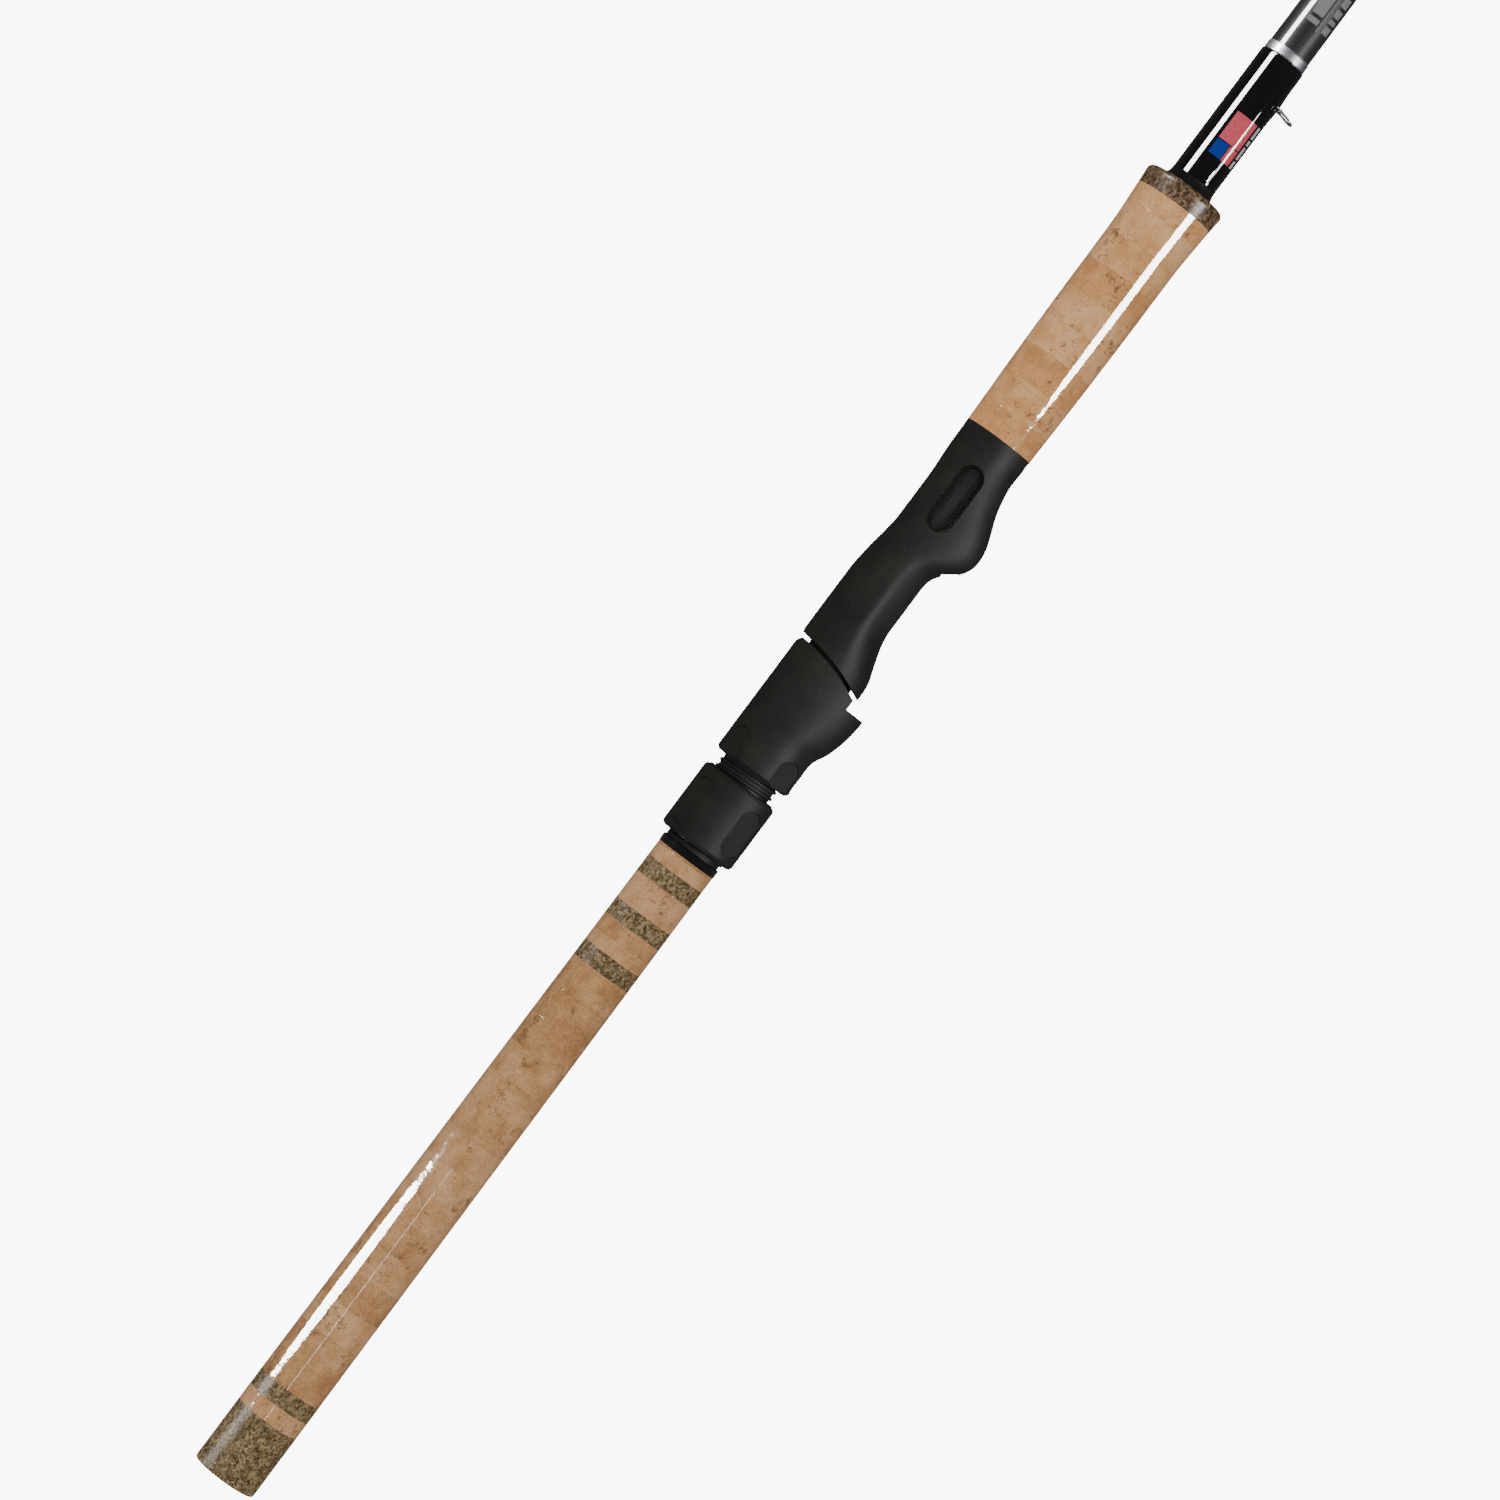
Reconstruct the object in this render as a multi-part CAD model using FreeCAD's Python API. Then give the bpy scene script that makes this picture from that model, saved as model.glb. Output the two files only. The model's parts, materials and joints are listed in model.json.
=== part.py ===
"""A two-piece spinning rod, 7 ft 6 in long, with a split cork handle and a skeleton reel seat.

The rod lies along X: the butt end is at x = 0, the tip points to +X, +Z is up and the reel
hangs below, on the -Z side, as do the line guides. The origin is the middle of the butt cap's
flat end face. All sizes are in millimetres.
"""
import FreeCAD, Part
import math
import os

V = FreeCAD.Vector
X_AXIS = V(1, 0, 0)
Y_AXIS = V(0, 1, 0)
ORIGIN = V(0, 0, 0)

# ---- overall ----------------------------------------------------------------------------------
ROD_LENGTH = 2286.0             # 7 ft 6 in
FERRULE_OVERLAP = 76.0          # how far the tip section slides over the butt section
FIT_CLEARANCE = 0.05            # radial, between the two halves of the ferrule
GLUE_LINE = 0.1                 # radial, between the blank and what is glued on it

# ---- rear grip, from the butt forward ---------------------------------------------------------
CORK_RING = 12.7                # thickness of one stock cork ring
BURL_RING = 7.0                 # thickness of a dark accent ring
CAP_LENGTH = 26.9
BUTT_CORK = 6.9                 # pale ring between the cap and the first accent ring
CORK_SPACER = 12.1              # pale rings between the three front accent rings
FRONT_CORK = 6.6                # pale ring against the reel seat
REAR_GRIP_LENGTH = 281.6
BUTT_RADIUS = 12.95             # the cap is a plain cylinder
REAR_GRIP_FRONT_RADIUS = 12.1
CAP_EDGE = 0.8                  # rounded edge of the cap's end face
CAP_SOLID_END = 9.0             # cork left behind the blank's end

# ---- foregrip ---------------------------------------------------------------------------------
FOREGRIP_LENGTH = 106.6         # cork only
FOREGRIP_FIRST_RING = 9.9       # the ring against the seat is trimmed
FOREGRIP_BURL = 8.1
FOREGRIP_MID_RADIUS = 14.9
FLARE_RADIUS = 16.5             # the accent ring at the front
FLARE_START = 86.0              # from the seat
FLARE_EDGE = 2.2

# ---- reel seat --------------------------------------------------------------------------------
SEAT_LENGTH = 190.5             # from the rear grip to the foregrip
SEAT_FRONT_RADIUS = 13.95
THREAD_PITCH = 2.75
THREAD_CREST = 12.28
THREAD_ROOT = 11.45
RIDGE_HALF_FOOT = 0.85          # of the barrel's ridge, along X
RIDGE_HALF_CREST = 0.4
THREAD_CLEARANCE = 0.2
BARREL_BORE = 10.3              # leaves room for the arbors
TRIM_RING_LENGTH = 3.4
NUT_REAR_GAP = 2.2              # between the trim ring and the nut
NUT_LENGTH = 28.0
NUT_RADIUS = 15.5
HOOD_GAP = 5.9                  # bare thread between the nut and the hood
HOOD_RADIUS = 15.8
HOOD_LENGTH = 38.9              # from its rear edge to the mouth of its pocket
HOOD_CHAMFER = 1.2
HOOD_CLEARANCE = 0.3            # radial, over the thread
TONGUE_LENGTH = 4.4             # of the hood's floor in front of the pocket, at the keel
TONGUE_DEPTH = 14.2             # of that floor below the axis
LIP_DEPTH = 21.9                # of the pocket's lip below the axis
POCKET_WALL = 1.8
POCKET_HALF_WIDTH = 7.0
POCKET_ROOF_HALF_WIDTH = 4.6
POCKET_LENGTH = 12.0
POCKET_TAPER = 1.0              # its roof comes down by this to the blind end
FIXED_ROOF = 18.0               # depth of the fixed hood's pocket below the axis
LINER = 0.6                     # soft pad glued in the pocket's roof
PARTING_GAP = 1.7               # between the hood and the body
CROWN_ROUND = 3.4               # of the edges on both sides of that gap, at the top
FOOT_LINE = 15.0                # the reel foot's underside lies this far below the axis
BED_DEPTH = 10.0                # of the waist over the blank
KEY_HALF_WIDTH = 2.0
KEY_DEPTH = 0.75                # of the keyway along the top of the barrel
KEY_CLEARANCE = 0.15
WASHER_LENGTH = 3.0
WASHER_PROUD = 0.4              # of the washer ahead of the nut's front face
FLATS = 4                       # finger flats round the nut and round the hood's rear end
FLAT_DEPTH = 0.85
NUT_FLAT_LENGTH = 20.0
HOOD_FLAT_LENGTH = 12.3
WINDOW_HALF_LENGTH = 13.9
WINDOW_HALF_HEIGHT = 5.2
WINDOW_FLARE = 1.6
WINDOW_FROM_FRONT = 27.1        # from the seat's front end to the window's middle

# ---- thread wraps and hook keeper ahead of the foregrip ---------------------------------------
CHECK_LENGTH = 4.2
CHECK_RADIUS = 10.4
HANDLE_WRAP_LENGTH = 58.6
HANDLE_WRAP_RADIUS = 9.13
SILVER_BAND = 3.9
SILVER_RADIUS = 8.75
KEEPER_FROM_GRIP = 42.9
KEEPER_WIRE = 0.5               # radius
KEEPER_HALF_WIDTH = 4.2
KEEPER_DEPTH = 17.1             # of the loop's lowest point below the axis
KEEPER_LEAN = 14.0              # degrees, towards the butt
KEEPER_EYE = 1.05               # outer radius of the eye the loop hangs in
LABEL_FROM_GRIP = 14.8
LABEL_LENGTH = 18.3
LABEL_THICKNESS = 0.08
LABEL_ANGLES = (-15.0, 62.0)    # degrees below the horizontal, on the -Y side

# ---- blank: outer radius at a few places, straight in between ---------------------------------
BLANK_BUTT_RADIUS = 9.0
BLANK_HANDLE_RADIUS = 8.5       # where it leaves the handle wrap
BLANK_FERRULE_RADIUS = 6.2      # at the end of the butt section
BLANK_TIP_RADIUS = 1.1
BLANK_WALL = 1.3
TIP_WALL = 0.9
FERRULE_WALL = 0.9
FERRULE_WRAP = 34.0

# ---- line guides: ring size and distance of the ring from the tip-top -------------------------
GUIDES = ((30, 1245.0), (20, 975.0), (16, 745.0), (12, 550.0), (10, 380.0), (8, 235.0), (8, 110.0))
TIP_RING = 8
TIP_TUBE = 13.0
TIP_TUBE_WALL = 0.4
TIP_SETBACK = 2.0               # of the blank's end behind the tip-top's ring

# ---- places along X that follow from the sizes above -------------------------------------------
SEAT_REAR = REAR_GRIP_LENGTH
SEAT_FRONT = SEAT_REAR + SEAT_LENGTH
FOREGRIP_END = SEAT_FRONT + FOREGRIP_LENGTH
GRIP_FACE = FOREGRIP_END + FOREGRIP_BURL
WRAP_END = GRIP_FACE + HANDLE_WRAP_LENGTH
TRIM_FRONT = SEAT_REAR + TRIM_RING_LENGTH
NUT_REAR = TRIM_FRONT + NUT_REAR_GAP
NUT_FRONT = NUT_REAR + NUT_LENGTH
HOOD_REAR = NUT_FRONT + HOOD_GAP
HOOD_MOUTH = HOOD_REAR + HOOD_LENGTH
PARTING = HOOD_MOUTH + TONGUE_LENGTH            # where the hood meets the body, at the keel
WINDOW_X = SEAT_FRONT - WINDOW_FROM_FRONT
SECTION_LENGTH = (ROD_LENGTH + FERRULE_OVERLAP) / 2
TIP_START = ROD_LENGTH - SECTION_LENGTH
TIP_END = ROD_LENGTH - TIP_SETBACK


# ---- general helpers ---------------------------------------------------------------------------
def smooth(points):
    """A curve through (x, value) points that never overshoots them: cubic, with limited slopes."""
    xs = [p[0] for p in points]
    ys = [p[1] for p in points]
    steps = [(ys[i + 1] - ys[i]) / (xs[i + 1] - xs[i]) for i in range(len(xs) - 1)]
    slopes = [steps[0]]
    for a, b in zip(steps, steps[1:]):
        slopes.append(0.0 if a * b <= 0 else 2 * a * b / (a + b))
    slopes.append(steps[-1])

    def value(x):
        if x <= xs[0]:
            return ys[0]
        if x >= xs[-1]:
            return ys[-1]
        i = max(k for k in range(len(xs) - 1) if xs[k] <= x)
        h = xs[i + 1] - xs[i]
        u = (x - xs[i]) / h
        rise = (3 - 2 * u) * u * u
        start = u * (1 - u) ** 2 * h * slopes[i]
        end = u * u * (u - 1) * h * slopes[i + 1]
        return ys[i] + (ys[i + 1] - ys[i]) * rise + start + end

    return value


def straight(points):
    """A curve through (x, value) points, straight in between."""
    def value(x):
        for (x0, y0), (x1, y1) in zip(points, points[1:]):
            if x <= x1:
                return y0 + (y1 - y0) * (x - x0) / (x1 - x0)
        return points[-1][1]

    return value


def lathe(points, start=0.0, angle=360.0):
    """The solid that a closed outline of (x, radius) points makes as it turns about X."""
    corners = [V(x, 0, r) for x, r in points]
    face = Part.Face(Part.makePolygon(corners + corners[:1]))
    solid = face.revolve(ORIGIN, X_AXIS, angle)
    solid.rotate(ORIGIN, X_AXIS, start)
    return solid


def tube(x0, x1, outer, inner):
    """A ring about X whose outer and inner radii are functions of x, taken at its two ends."""
    return lathe([(x0, inner(x0)), (x0, outer(x0)), (x1, outer(x1)), (x1, inner(x1))])


def curved_tube(stations, outer, inner):
    """As tube, but the outer outline has a point at every station."""
    x0, x1 = stations[0], stations[-1]
    return lathe([(x0, inner(x0))] + [(x, outer(x)) for x in stations] + [(x1, inner(x1))])


def rod(start, end, radius):
    """A round bar between two points."""
    along = end - start
    return Part.makeCylinder(radius, along.Length, start, along)


def box(x, y, z):
    """A block between pairs of limits."""
    size = [b - a for a, b in (x, y, z)]
    return Part.makeBox(size[0], size[1], size[2], V(x[0], y[0], z[0]))


def bent_wire(points, radius, bend):
    """Wire of that radius along straight runs that are joined by tangent arcs."""
    edges = []
    last = points[0]
    for before, corner, after in zip(points, points[1:], points[2:]):
        back = (before - corner).normalize()
        on = (after - corner).normalize()
        half_turn = (math.pi - back.getAngle(on)) / 2
        reach = bend * math.tan(half_turn)
        enter = corner + back * reach
        leave = corner + on * reach
        bisector = (back + on).normalize()
        middle = corner + bisector * (bend / math.cos(half_turn) - bend)
        edges.append(Part.LineSegment(last, enter).toShape())
        edges.append(Part.Arc(enter, middle, leave).toShape())
        last = leave
    edges.append(Part.LineSegment(last, points[-1]).toShape())
    path = Part.Wire(edges)
    first = (points[1] - points[0]).normalize()
    profile = Part.Wire([Part.Circle(points[0], first, radius).toShape()])
    return path.makePipeShell([profile], True, False)


def joined(pieces):
    """Overlapping pieces as one solid."""
    return pieces[0].multiFuse(pieces[1:]).removeSplitter()


def group(solids):
    """Separate solids that share one node."""
    return Part.makeCompound(solids)


PARTS = {}


def keep(name, shape):
    """Files a finished sub-part under its node's name."""
    solids = shape.Solids
    if not solids or not all(s.isValid() and s.Volume > 0 for s in solids):
        raise ValueError(f"{name} isn't a valid solid")
    PARTS[name] = solids[0] if len(solids) == 1 else group(solids)


# ---- blank -------------------------------------------------------------------------------------
butt_blank_radius = straight([
    (0, BLANK_BUTT_RADIUS), (WRAP_END, BLANK_HANDLE_RADIUS), (SECTION_LENGTH, BLANK_FERRULE_RADIUS)])
SWELL_RADIUS = butt_blank_radius(TIP_START) + FIT_CLEARANCE + FERRULE_WALL
FERRULE_END = SECTION_LENGTH + 2.0
tip_blank_radius = straight([
    (TIP_START, SWELL_RADIUS),
    (FERRULE_END, butt_blank_radius(SECTION_LENGTH) + FIT_CLEARANCE + FERRULE_WALL),
    (FERRULE_END + 60, BLANK_FERRULE_RADIUS - 0.2),
    (TIP_END, BLANK_TIP_RADIUS)])


def blank_radius(x):
    """Outer radius of whichever section carries the guides at x."""
    return tip_blank_radius(x) if x > TIP_START else butt_blank_radius(x)


def glued_bore(x):
    """Bore of a grip or seat that is glued on the butt blank."""
    return butt_blank_radius(x) + GLUE_LINE


def make_blanks():
    start = CAP_SOLID_END
    outer = [(x, butt_blank_radius(x)) for x in (start, WRAP_END, SECTION_LENGTH)]
    inner = [(x, r - BLANK_WALL) for x, r in reversed(outer)]
    keep("butt_blank", lathe(outer + inner))
    socket = [(x, butt_blank_radius(x) + FIT_CLEARANCE) for x in (TIP_START, SECTION_LENGTH)]
    step = BLANK_FERRULE_RADIUS - 0.2 - TIP_WALL
    inner = socket + [(FERRULE_END, socket[-1][1]), (FERRULE_END + 60, step), (TIP_END, 0.45)]
    outer = [(x, tip_blank_radius(x)) for x in (TIP_START, FERRULE_END, FERRULE_END + 60, TIP_END)]
    keep("tip_blank", lathe(outer + inner[::-1]))
    wrap = [(TIP_START, SWELL_RADIUS), (TIP_START, SWELL_RADIUS + 0.2),
            (TIP_START + 2, SWELL_RADIUS + 0.45)]
    wrap += [(x, tip_blank_radius(x) + rise) for x, rise in (
        (TIP_START + FERRULE_WRAP - 4, 0.45), (TIP_START + FERRULE_WRAP, 0.0))]
    keep("ferrule_wrap", lathe(wrap))


# ---- cork grips --------------------------------------------------------------------------------
rear_grip_radius = straight([
    (0, BUTT_RADIUS), (CAP_LENGTH, BUTT_RADIUS), (REAR_GRIP_LENGTH, REAR_GRIP_FRONT_RADIUS)])
foregrip_radius = smooth([
    (SEAT_FRONT, SEAT_FRONT_RADIUS), (SEAT_FRONT + 30, 14.6), (SEAT_FRONT + 58, FOREGRIP_MID_RADIUS),
    (SEAT_FRONT + FLARE_START, FOREGRIP_MID_RADIUS + 0.1), (FOREGRIP_END, 16.0),
    (GRIP_FACE, FLARE_RADIUS)])


def make_butt_cap():
    edge = [(CAP_EDGE * (1 - math.cos(a)), BUTT_RADIUS - CAP_EDGE * (1 - math.sin(a)))
            for a in (math.radians(15 * k) for k in range(7))]
    bore = glued_bore(CAP_SOLID_END)
    outline = [(0, 0)] + edge + [(CAP_LENGTH, BUTT_RADIUS), (CAP_LENGTH, bore),
                                 (CAP_SOLID_END, bore), (CAP_SOLID_END, 0)]
    keep("butt_cap", lathe(outline))


def make_rear_grip():
    def ring(x0, x1):
        return tube(x0, x1, rear_grip_radius, glued_bore)

    cork_start = CAP_LENGTH + BUTT_CORK + BURL_RING
    keep("butt_cork_ring", ring(CAP_LENGTH, CAP_LENGTH + BUTT_CORK))
    keep("butt_burl_ring", ring(CAP_LENGTH + BUTT_CORK, cork_start))
    period = BURL_RING + CORK_SPACER
    first_burl = REAR_GRIP_LENGTH - FRONT_CORK - BURL_RING - 2 * period
    burls = [ring(first_burl + k * period, first_burl + k * period + BURL_RING) for k in range(3)]
    keep("rear_burl_rings", group(burls))
    spacers = [ring(first_burl + k * period + BURL_RING, first_burl + (k + 1) * period)
               for k in range(2)]
    spacers.append(ring(REAR_GRIP_LENGTH - FRONT_CORK, REAR_GRIP_LENGTH))
    keep("rear_cork_spacers", group(spacers))
    whole = int((first_burl - cork_start) / CORK_RING)
    joints = [cork_start] + [first_burl - CORK_RING * k for k in range(whole, -1, -1)]
    keep("rear_grip_cork", group([ring(a, b) for a, b in zip(joints, joints[1:]) if b - a > 0.5]))


def make_foregrip():
    joints = [SEAT_FRONT, SEAT_FRONT + FOREGRIP_FIRST_RING]
    while FOREGRIP_END - joints[-1] > CORK_RING + 1:
        joints.append(joints[-1] + CORK_RING)
    joints.append(FOREGRIP_END)
    rings = []
    for a, b in zip(joints, joints[1:]):
        rings.append(curved_tube([a + (b - a) * k / 4 for k in range(5)], foregrip_radius, glued_bore))
    keep("foregrip_cork", group(rings))
    rounded = GRIP_FACE - FLARE_EDGE
    edge = [(rounded + FLARE_EDGE * math.sin(a), FLARE_RADIUS - FLARE_EDGE * (1 - math.cos(a)))
            for a in (math.radians(15 * k) for k in range(7))]
    outline = [(FOREGRIP_END, glued_bore(FOREGRIP_END)), (FOREGRIP_END, foregrip_radius(FOREGRIP_END))]
    outline += edge + [(GRIP_FACE, glued_bore(GRIP_FACE))]
    keep("foregrip_burl_ring", lathe(outline))


# ---- reel seat ---------------------------------------------------------------------------------
def seat_section(x, top, keel, half_width, fullness):
    """The seat's outline across X: an ellipse above the axis and a superellipse below it.
    fullness 2 is an ellipse, less is closer to a vee."""
    points = []
    count = 26
    for k in range(count):
        a = 2 * math.pi * k / count
        c, s = math.cos(a), math.sin(a)
        if s >= 0:
            points.append(V(x, half_width * c, top * s))
            continue
        power = 2 / fullness
        points.append(V(x, math.copysign(half_width * abs(c) ** power, c), -keel * abs(s) ** power))
    curve = Part.BSplineCurve()
    curve.interpolate(points, PeriodicFlag=True)
    return Part.Wire([curve.toShape()])


def lofted(stations, top, keel, half_width, fullness):
    """A solid through seat sections, each taken from the four outlines at its station."""
    wires = [seat_section(x, top(x), keel(x), half_width(x), fullness(x)) for x in stations]
    return Part.makeLoft(wires, True, False)


def parting_prism(offset, toward_tip):
    """Everything ahead of the curved parting line (or behind it), as a prism across the seat."""
    crown, middle, keel = [V(PARTING + dx + offset, 0, z) for dx, z in (
        (8.6, 24.0), (5.9, 0.5), (-6.3, -26.0))]
    far = SEAT_FRONT + 40 if toward_tip else SEAT_REAR - 40
    edges = [Part.Arc(crown, middle, keel).toShape(),
             Part.LineSegment(keel, V(far, 0, keel.z)).toShape(),
             Part.LineSegment(V(far, 0, keel.z), V(far, 0, crown.z)).toShape(),
             Part.LineSegment(V(far, 0, crown.z), crown).toShape()]
    face = Part.Face(Part.Wire(edges))
    face.translate(V(0, -30, 0))
    return face.extrude(V(0, 60, 0))


def thread_ridge(x0, x1, foot, crest, half_foot, half_crest, phase):
    """A helical ridge from x0 to x1 between two radii. Its phase, in turns, counts from SEAT_REAR, so
    the barrel's ridge and the nut's mesh when they are half a turn apart."""
    turns_in = math.floor((x0 - SEAT_REAR) / THREAD_PITCH) - 1
    begin = SEAT_REAR + (turns_in + phase) * THREAD_PITCH
    helix = Part.makeHelix(THREAD_PITCH, x1 - begin + THREAD_PITCH, THREAD_ROOT)
    corners = [V(foot, 0, -half_foot), V(crest, 0, -half_crest), V(crest, 0, half_crest),
               V(foot, 0, half_foot)]
    profile = Part.makePolygon(corners + corners[:1])
    ridge = Part.Wire(helix.Edges).makePipeShell([profile], True, True)
    ridge.rotate(ORIGIN, Y_AXIS, 90)
    ridge.translate(V(begin, 0, 0))
    within = rod(V(x0, 0, 0), V(x1, 0, 0), THREAD_CREST + 3)
    return ridge.common(within)


def flat_cutters(x0, x1, radius):
    """Cutters for finger flats from x0 to x1 on a round of that radius. In plan each has round ends."""
    chord = math.sqrt(radius ** 2 - (radius - FLAT_DEPTH) ** 2)
    round_end = chord + 0.4
    floor = radius - FLAT_DEPTH
    left, right = x0 + round_end, x1 - round_end
    edges = [Part.LineSegment(V(left, round_end, floor), V(right, round_end, floor)).toShape(),
             Part.Arc(V(right, round_end, floor), V(x1, 0, floor), V(right, -round_end, floor)).toShape(),
             Part.LineSegment(V(right, -round_end, floor), V(left, -round_end, floor)).toShape(),
             Part.Arc(V(left, -round_end, floor), V(x0, 0, floor), V(left, round_end, floor)).toShape()]
    cutters = []
    for k in range(FLATS):
        cutter = Part.Face(Part.Wire(edges)).extrude(V(0, 0, 6))
        cutter.rotate(ORIGIN, X_AXIS, 360 / FLATS * (k + 0.5))
        cutters.append(cutter)
    return cutters


def keyway(extra, x0, x1):
    """The square groove along the top of the barrel, or the key in it where extra is negative."""
    floor = THREAD_CREST - KEY_DEPTH - extra
    return box((x0, x1), (-KEY_HALF_WIDTH - extra, KEY_HALF_WIDTH + extra), (floor, THREAD_CREST + 5))


def make_seat_body():
    front = SEAT_FRONT
    top = smooth([
        (PARTING - 4, HOOD_RADIUS), (PARTING + 20, 15.95), (PARTING + 38, 15.9),
        (PARTING + 48, 15.1), (PARTING + 57, 13.8), (PARTING + 64, 13.1), (PARTING + 82, 13.1),
        (front - 12, 13.8), (front, SEAT_FRONT_RADIUS)])
    keel = smooth([
        (PARTING - 6, 14.6), (PARTING + 2, 15.6), (PARTING + 6, 15.5), (PARTING + 15, 12.9),
        (PARTING + 23, 10.6), (PARTING + 28, BED_DEPTH), (PARTING + 48, BED_DEPTH),
        (PARTING + 52.5, 10.9), (PARTING + 59, 17.0), (PARTING + 63.5, 20.1), (PARTING + 67.5, 20.9),
        (PARTING + 71, 20.7), (PARTING + 78, 18.6), (PARTING + 85, 15.9), (PARTING + 93, 14.1),
        (front - 11, 13.7), (front, SEAT_FRONT_RADIUS)])
    half_width = smooth([
        (PARTING - 4, HOOD_RADIUS), (PARTING + 30, 15.2), (PARTING + 45, 14.2), (PARTING + 60, 13.0),
        (PARTING + 75, 12.9), (front, SEAT_FRONT_RADIUS)])
    fullness = smooth([
        (PARTING, 2.0), (PARTING + 12, 1.85), (PARTING + 26, 1.55), (PARTING + 48, 1.55),
        (PARTING + 60, 2.2), (PARTING + 76, 2.2), (front - 10, 2.0)])
    start = PARTING - 6
    stations = [start + (front - start) * k / 30 for k in range(31)]
    body = lofted(stations, top, keel, half_width, fullness)
    body = body.common(parting_prism(PARTING_GAP / 2, True)).cut(crown_notch())

    barrel_end = PARTING + 12
    barrel = lathe([(TRIM_FRONT, 8.0), (TRIM_FRONT, THREAD_ROOT), (barrel_end, THREAD_ROOT),
                    (barrel_end, 8.0)])
    ridge = thread_ridge(TRIM_FRONT + 1.5, PARTING - 8, THREAD_ROOT - 0.15, THREAD_CREST,
                         RIDGE_HALF_FOOT, RIDGE_HALF_CREST, 0.0)
    barrel = barrel.fuse(ridge)
    barrel = barrel.cut(keyway(0.0, TRIM_FRONT - 1, PARTING - 1))
    body = body.fuse(barrel)

    bore_change = PARTING + 6
    bore = [(TRIM_FRONT - 1, 0), (TRIM_FRONT - 1, BARREL_BORE), (bore_change, BARREL_BORE),
            (bore_change, glued_bore(bore_change)), (front + 1, glued_bore(front + 1)), (front + 1, 0)]
    body = body.cut(lathe(bore))
    for side in (-1, 1):
        body = body.cut(window_cutter(side))
    keep("seat_body", body.cut(fixed_pocket()).removeSplitter())


def slot_wire(y, half_length, half_height):
    """A slot with round ends in the plane of that y."""
    run = half_length - half_height
    x, h = WINDOW_X, half_height
    left, right = x - run, x + run
    edges = [Part.LineSegment(V(left, y, h), V(right, y, h)).toShape(),
             Part.Arc(V(right, y, h), V(right + h, y, 0), V(right, y, -h)).toShape(),
             Part.LineSegment(V(right, y, -h), V(left, y, -h)).toShape(),
             Part.Arc(V(left, y, -h), V(left - h, y, 0), V(left, y, h)).toShape()]
    return Part.Wire(edges)


def window_cutter(side):
    """The flared slot in the seat's side that shows the blank."""
    wires = [slot_wire(side * y, WINDOW_HALF_LENGTH + grow, WINDOW_HALF_HEIGHT + grow)
             for y, grow in ((4.0, -1.0), (9.0, -0.8), (16.0, WINDOW_FLARE))]
    return Part.makeLoft(wires, True, False)


def pocket(x_mouth, x_end, floor, roof, taper):
    """A foot pocket with an arched roof that is lower and narrower at its blind end."""
    wires = []
    for x, shrink in ((x_mouth, 0.0), (x_end, taper)):
        wide, narrow, low = POCKET_HALF_WIDTH - shrink, POCKET_ROOF_HALF_WIDTH - shrink / 2, roof - shrink
        corners = [V(x, -wide, -floor), V(x, wide, -floor), V(x, narrow, -low), V(x, -narrow, -low)]
        wires.append(Part.makePolygon(corners + corners[:1]))
    return Part.makeLoft(wires, True, True)


def fixed_pocket():
    """The pocket in the seat's front hump. It opens towards the butt."""
    return pocket(PARTING + 50, PARTING + 69, FOOT_LINE - 2.4, FIXED_ROOF, 1.5)


def crown_notch():
    """A cutter that rounds the top edges of the hood and the body where they part."""
    x, top, reach = PARTING + 7.6, HOOD_RADIUS, CROWN_ROUND
    left, right, bottom = V(x - reach, 0, top + 0.1), V(x + reach, 0, top + 0.1), V(x, 0, top - 0.6 * reach)
    edges = [Part.Arc(left, V(x - 0.42 * reach, 0, top - 0.13 * reach), bottom).toShape(),
             Part.Arc(bottom, V(x + 0.42 * reach, 0, top - 0.13 * reach), right).toShape(),
             Part.LineSegment(right, V(x, 0, top + 4)).toShape(),
             Part.LineSegment(V(x, 0, top + 4), left).toShape()]
    face = Part.Face(Part.Wire(edges))
    face.translate(V(0, -30, 0))
    return face.extrude(V(0, 60, 0))


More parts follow.
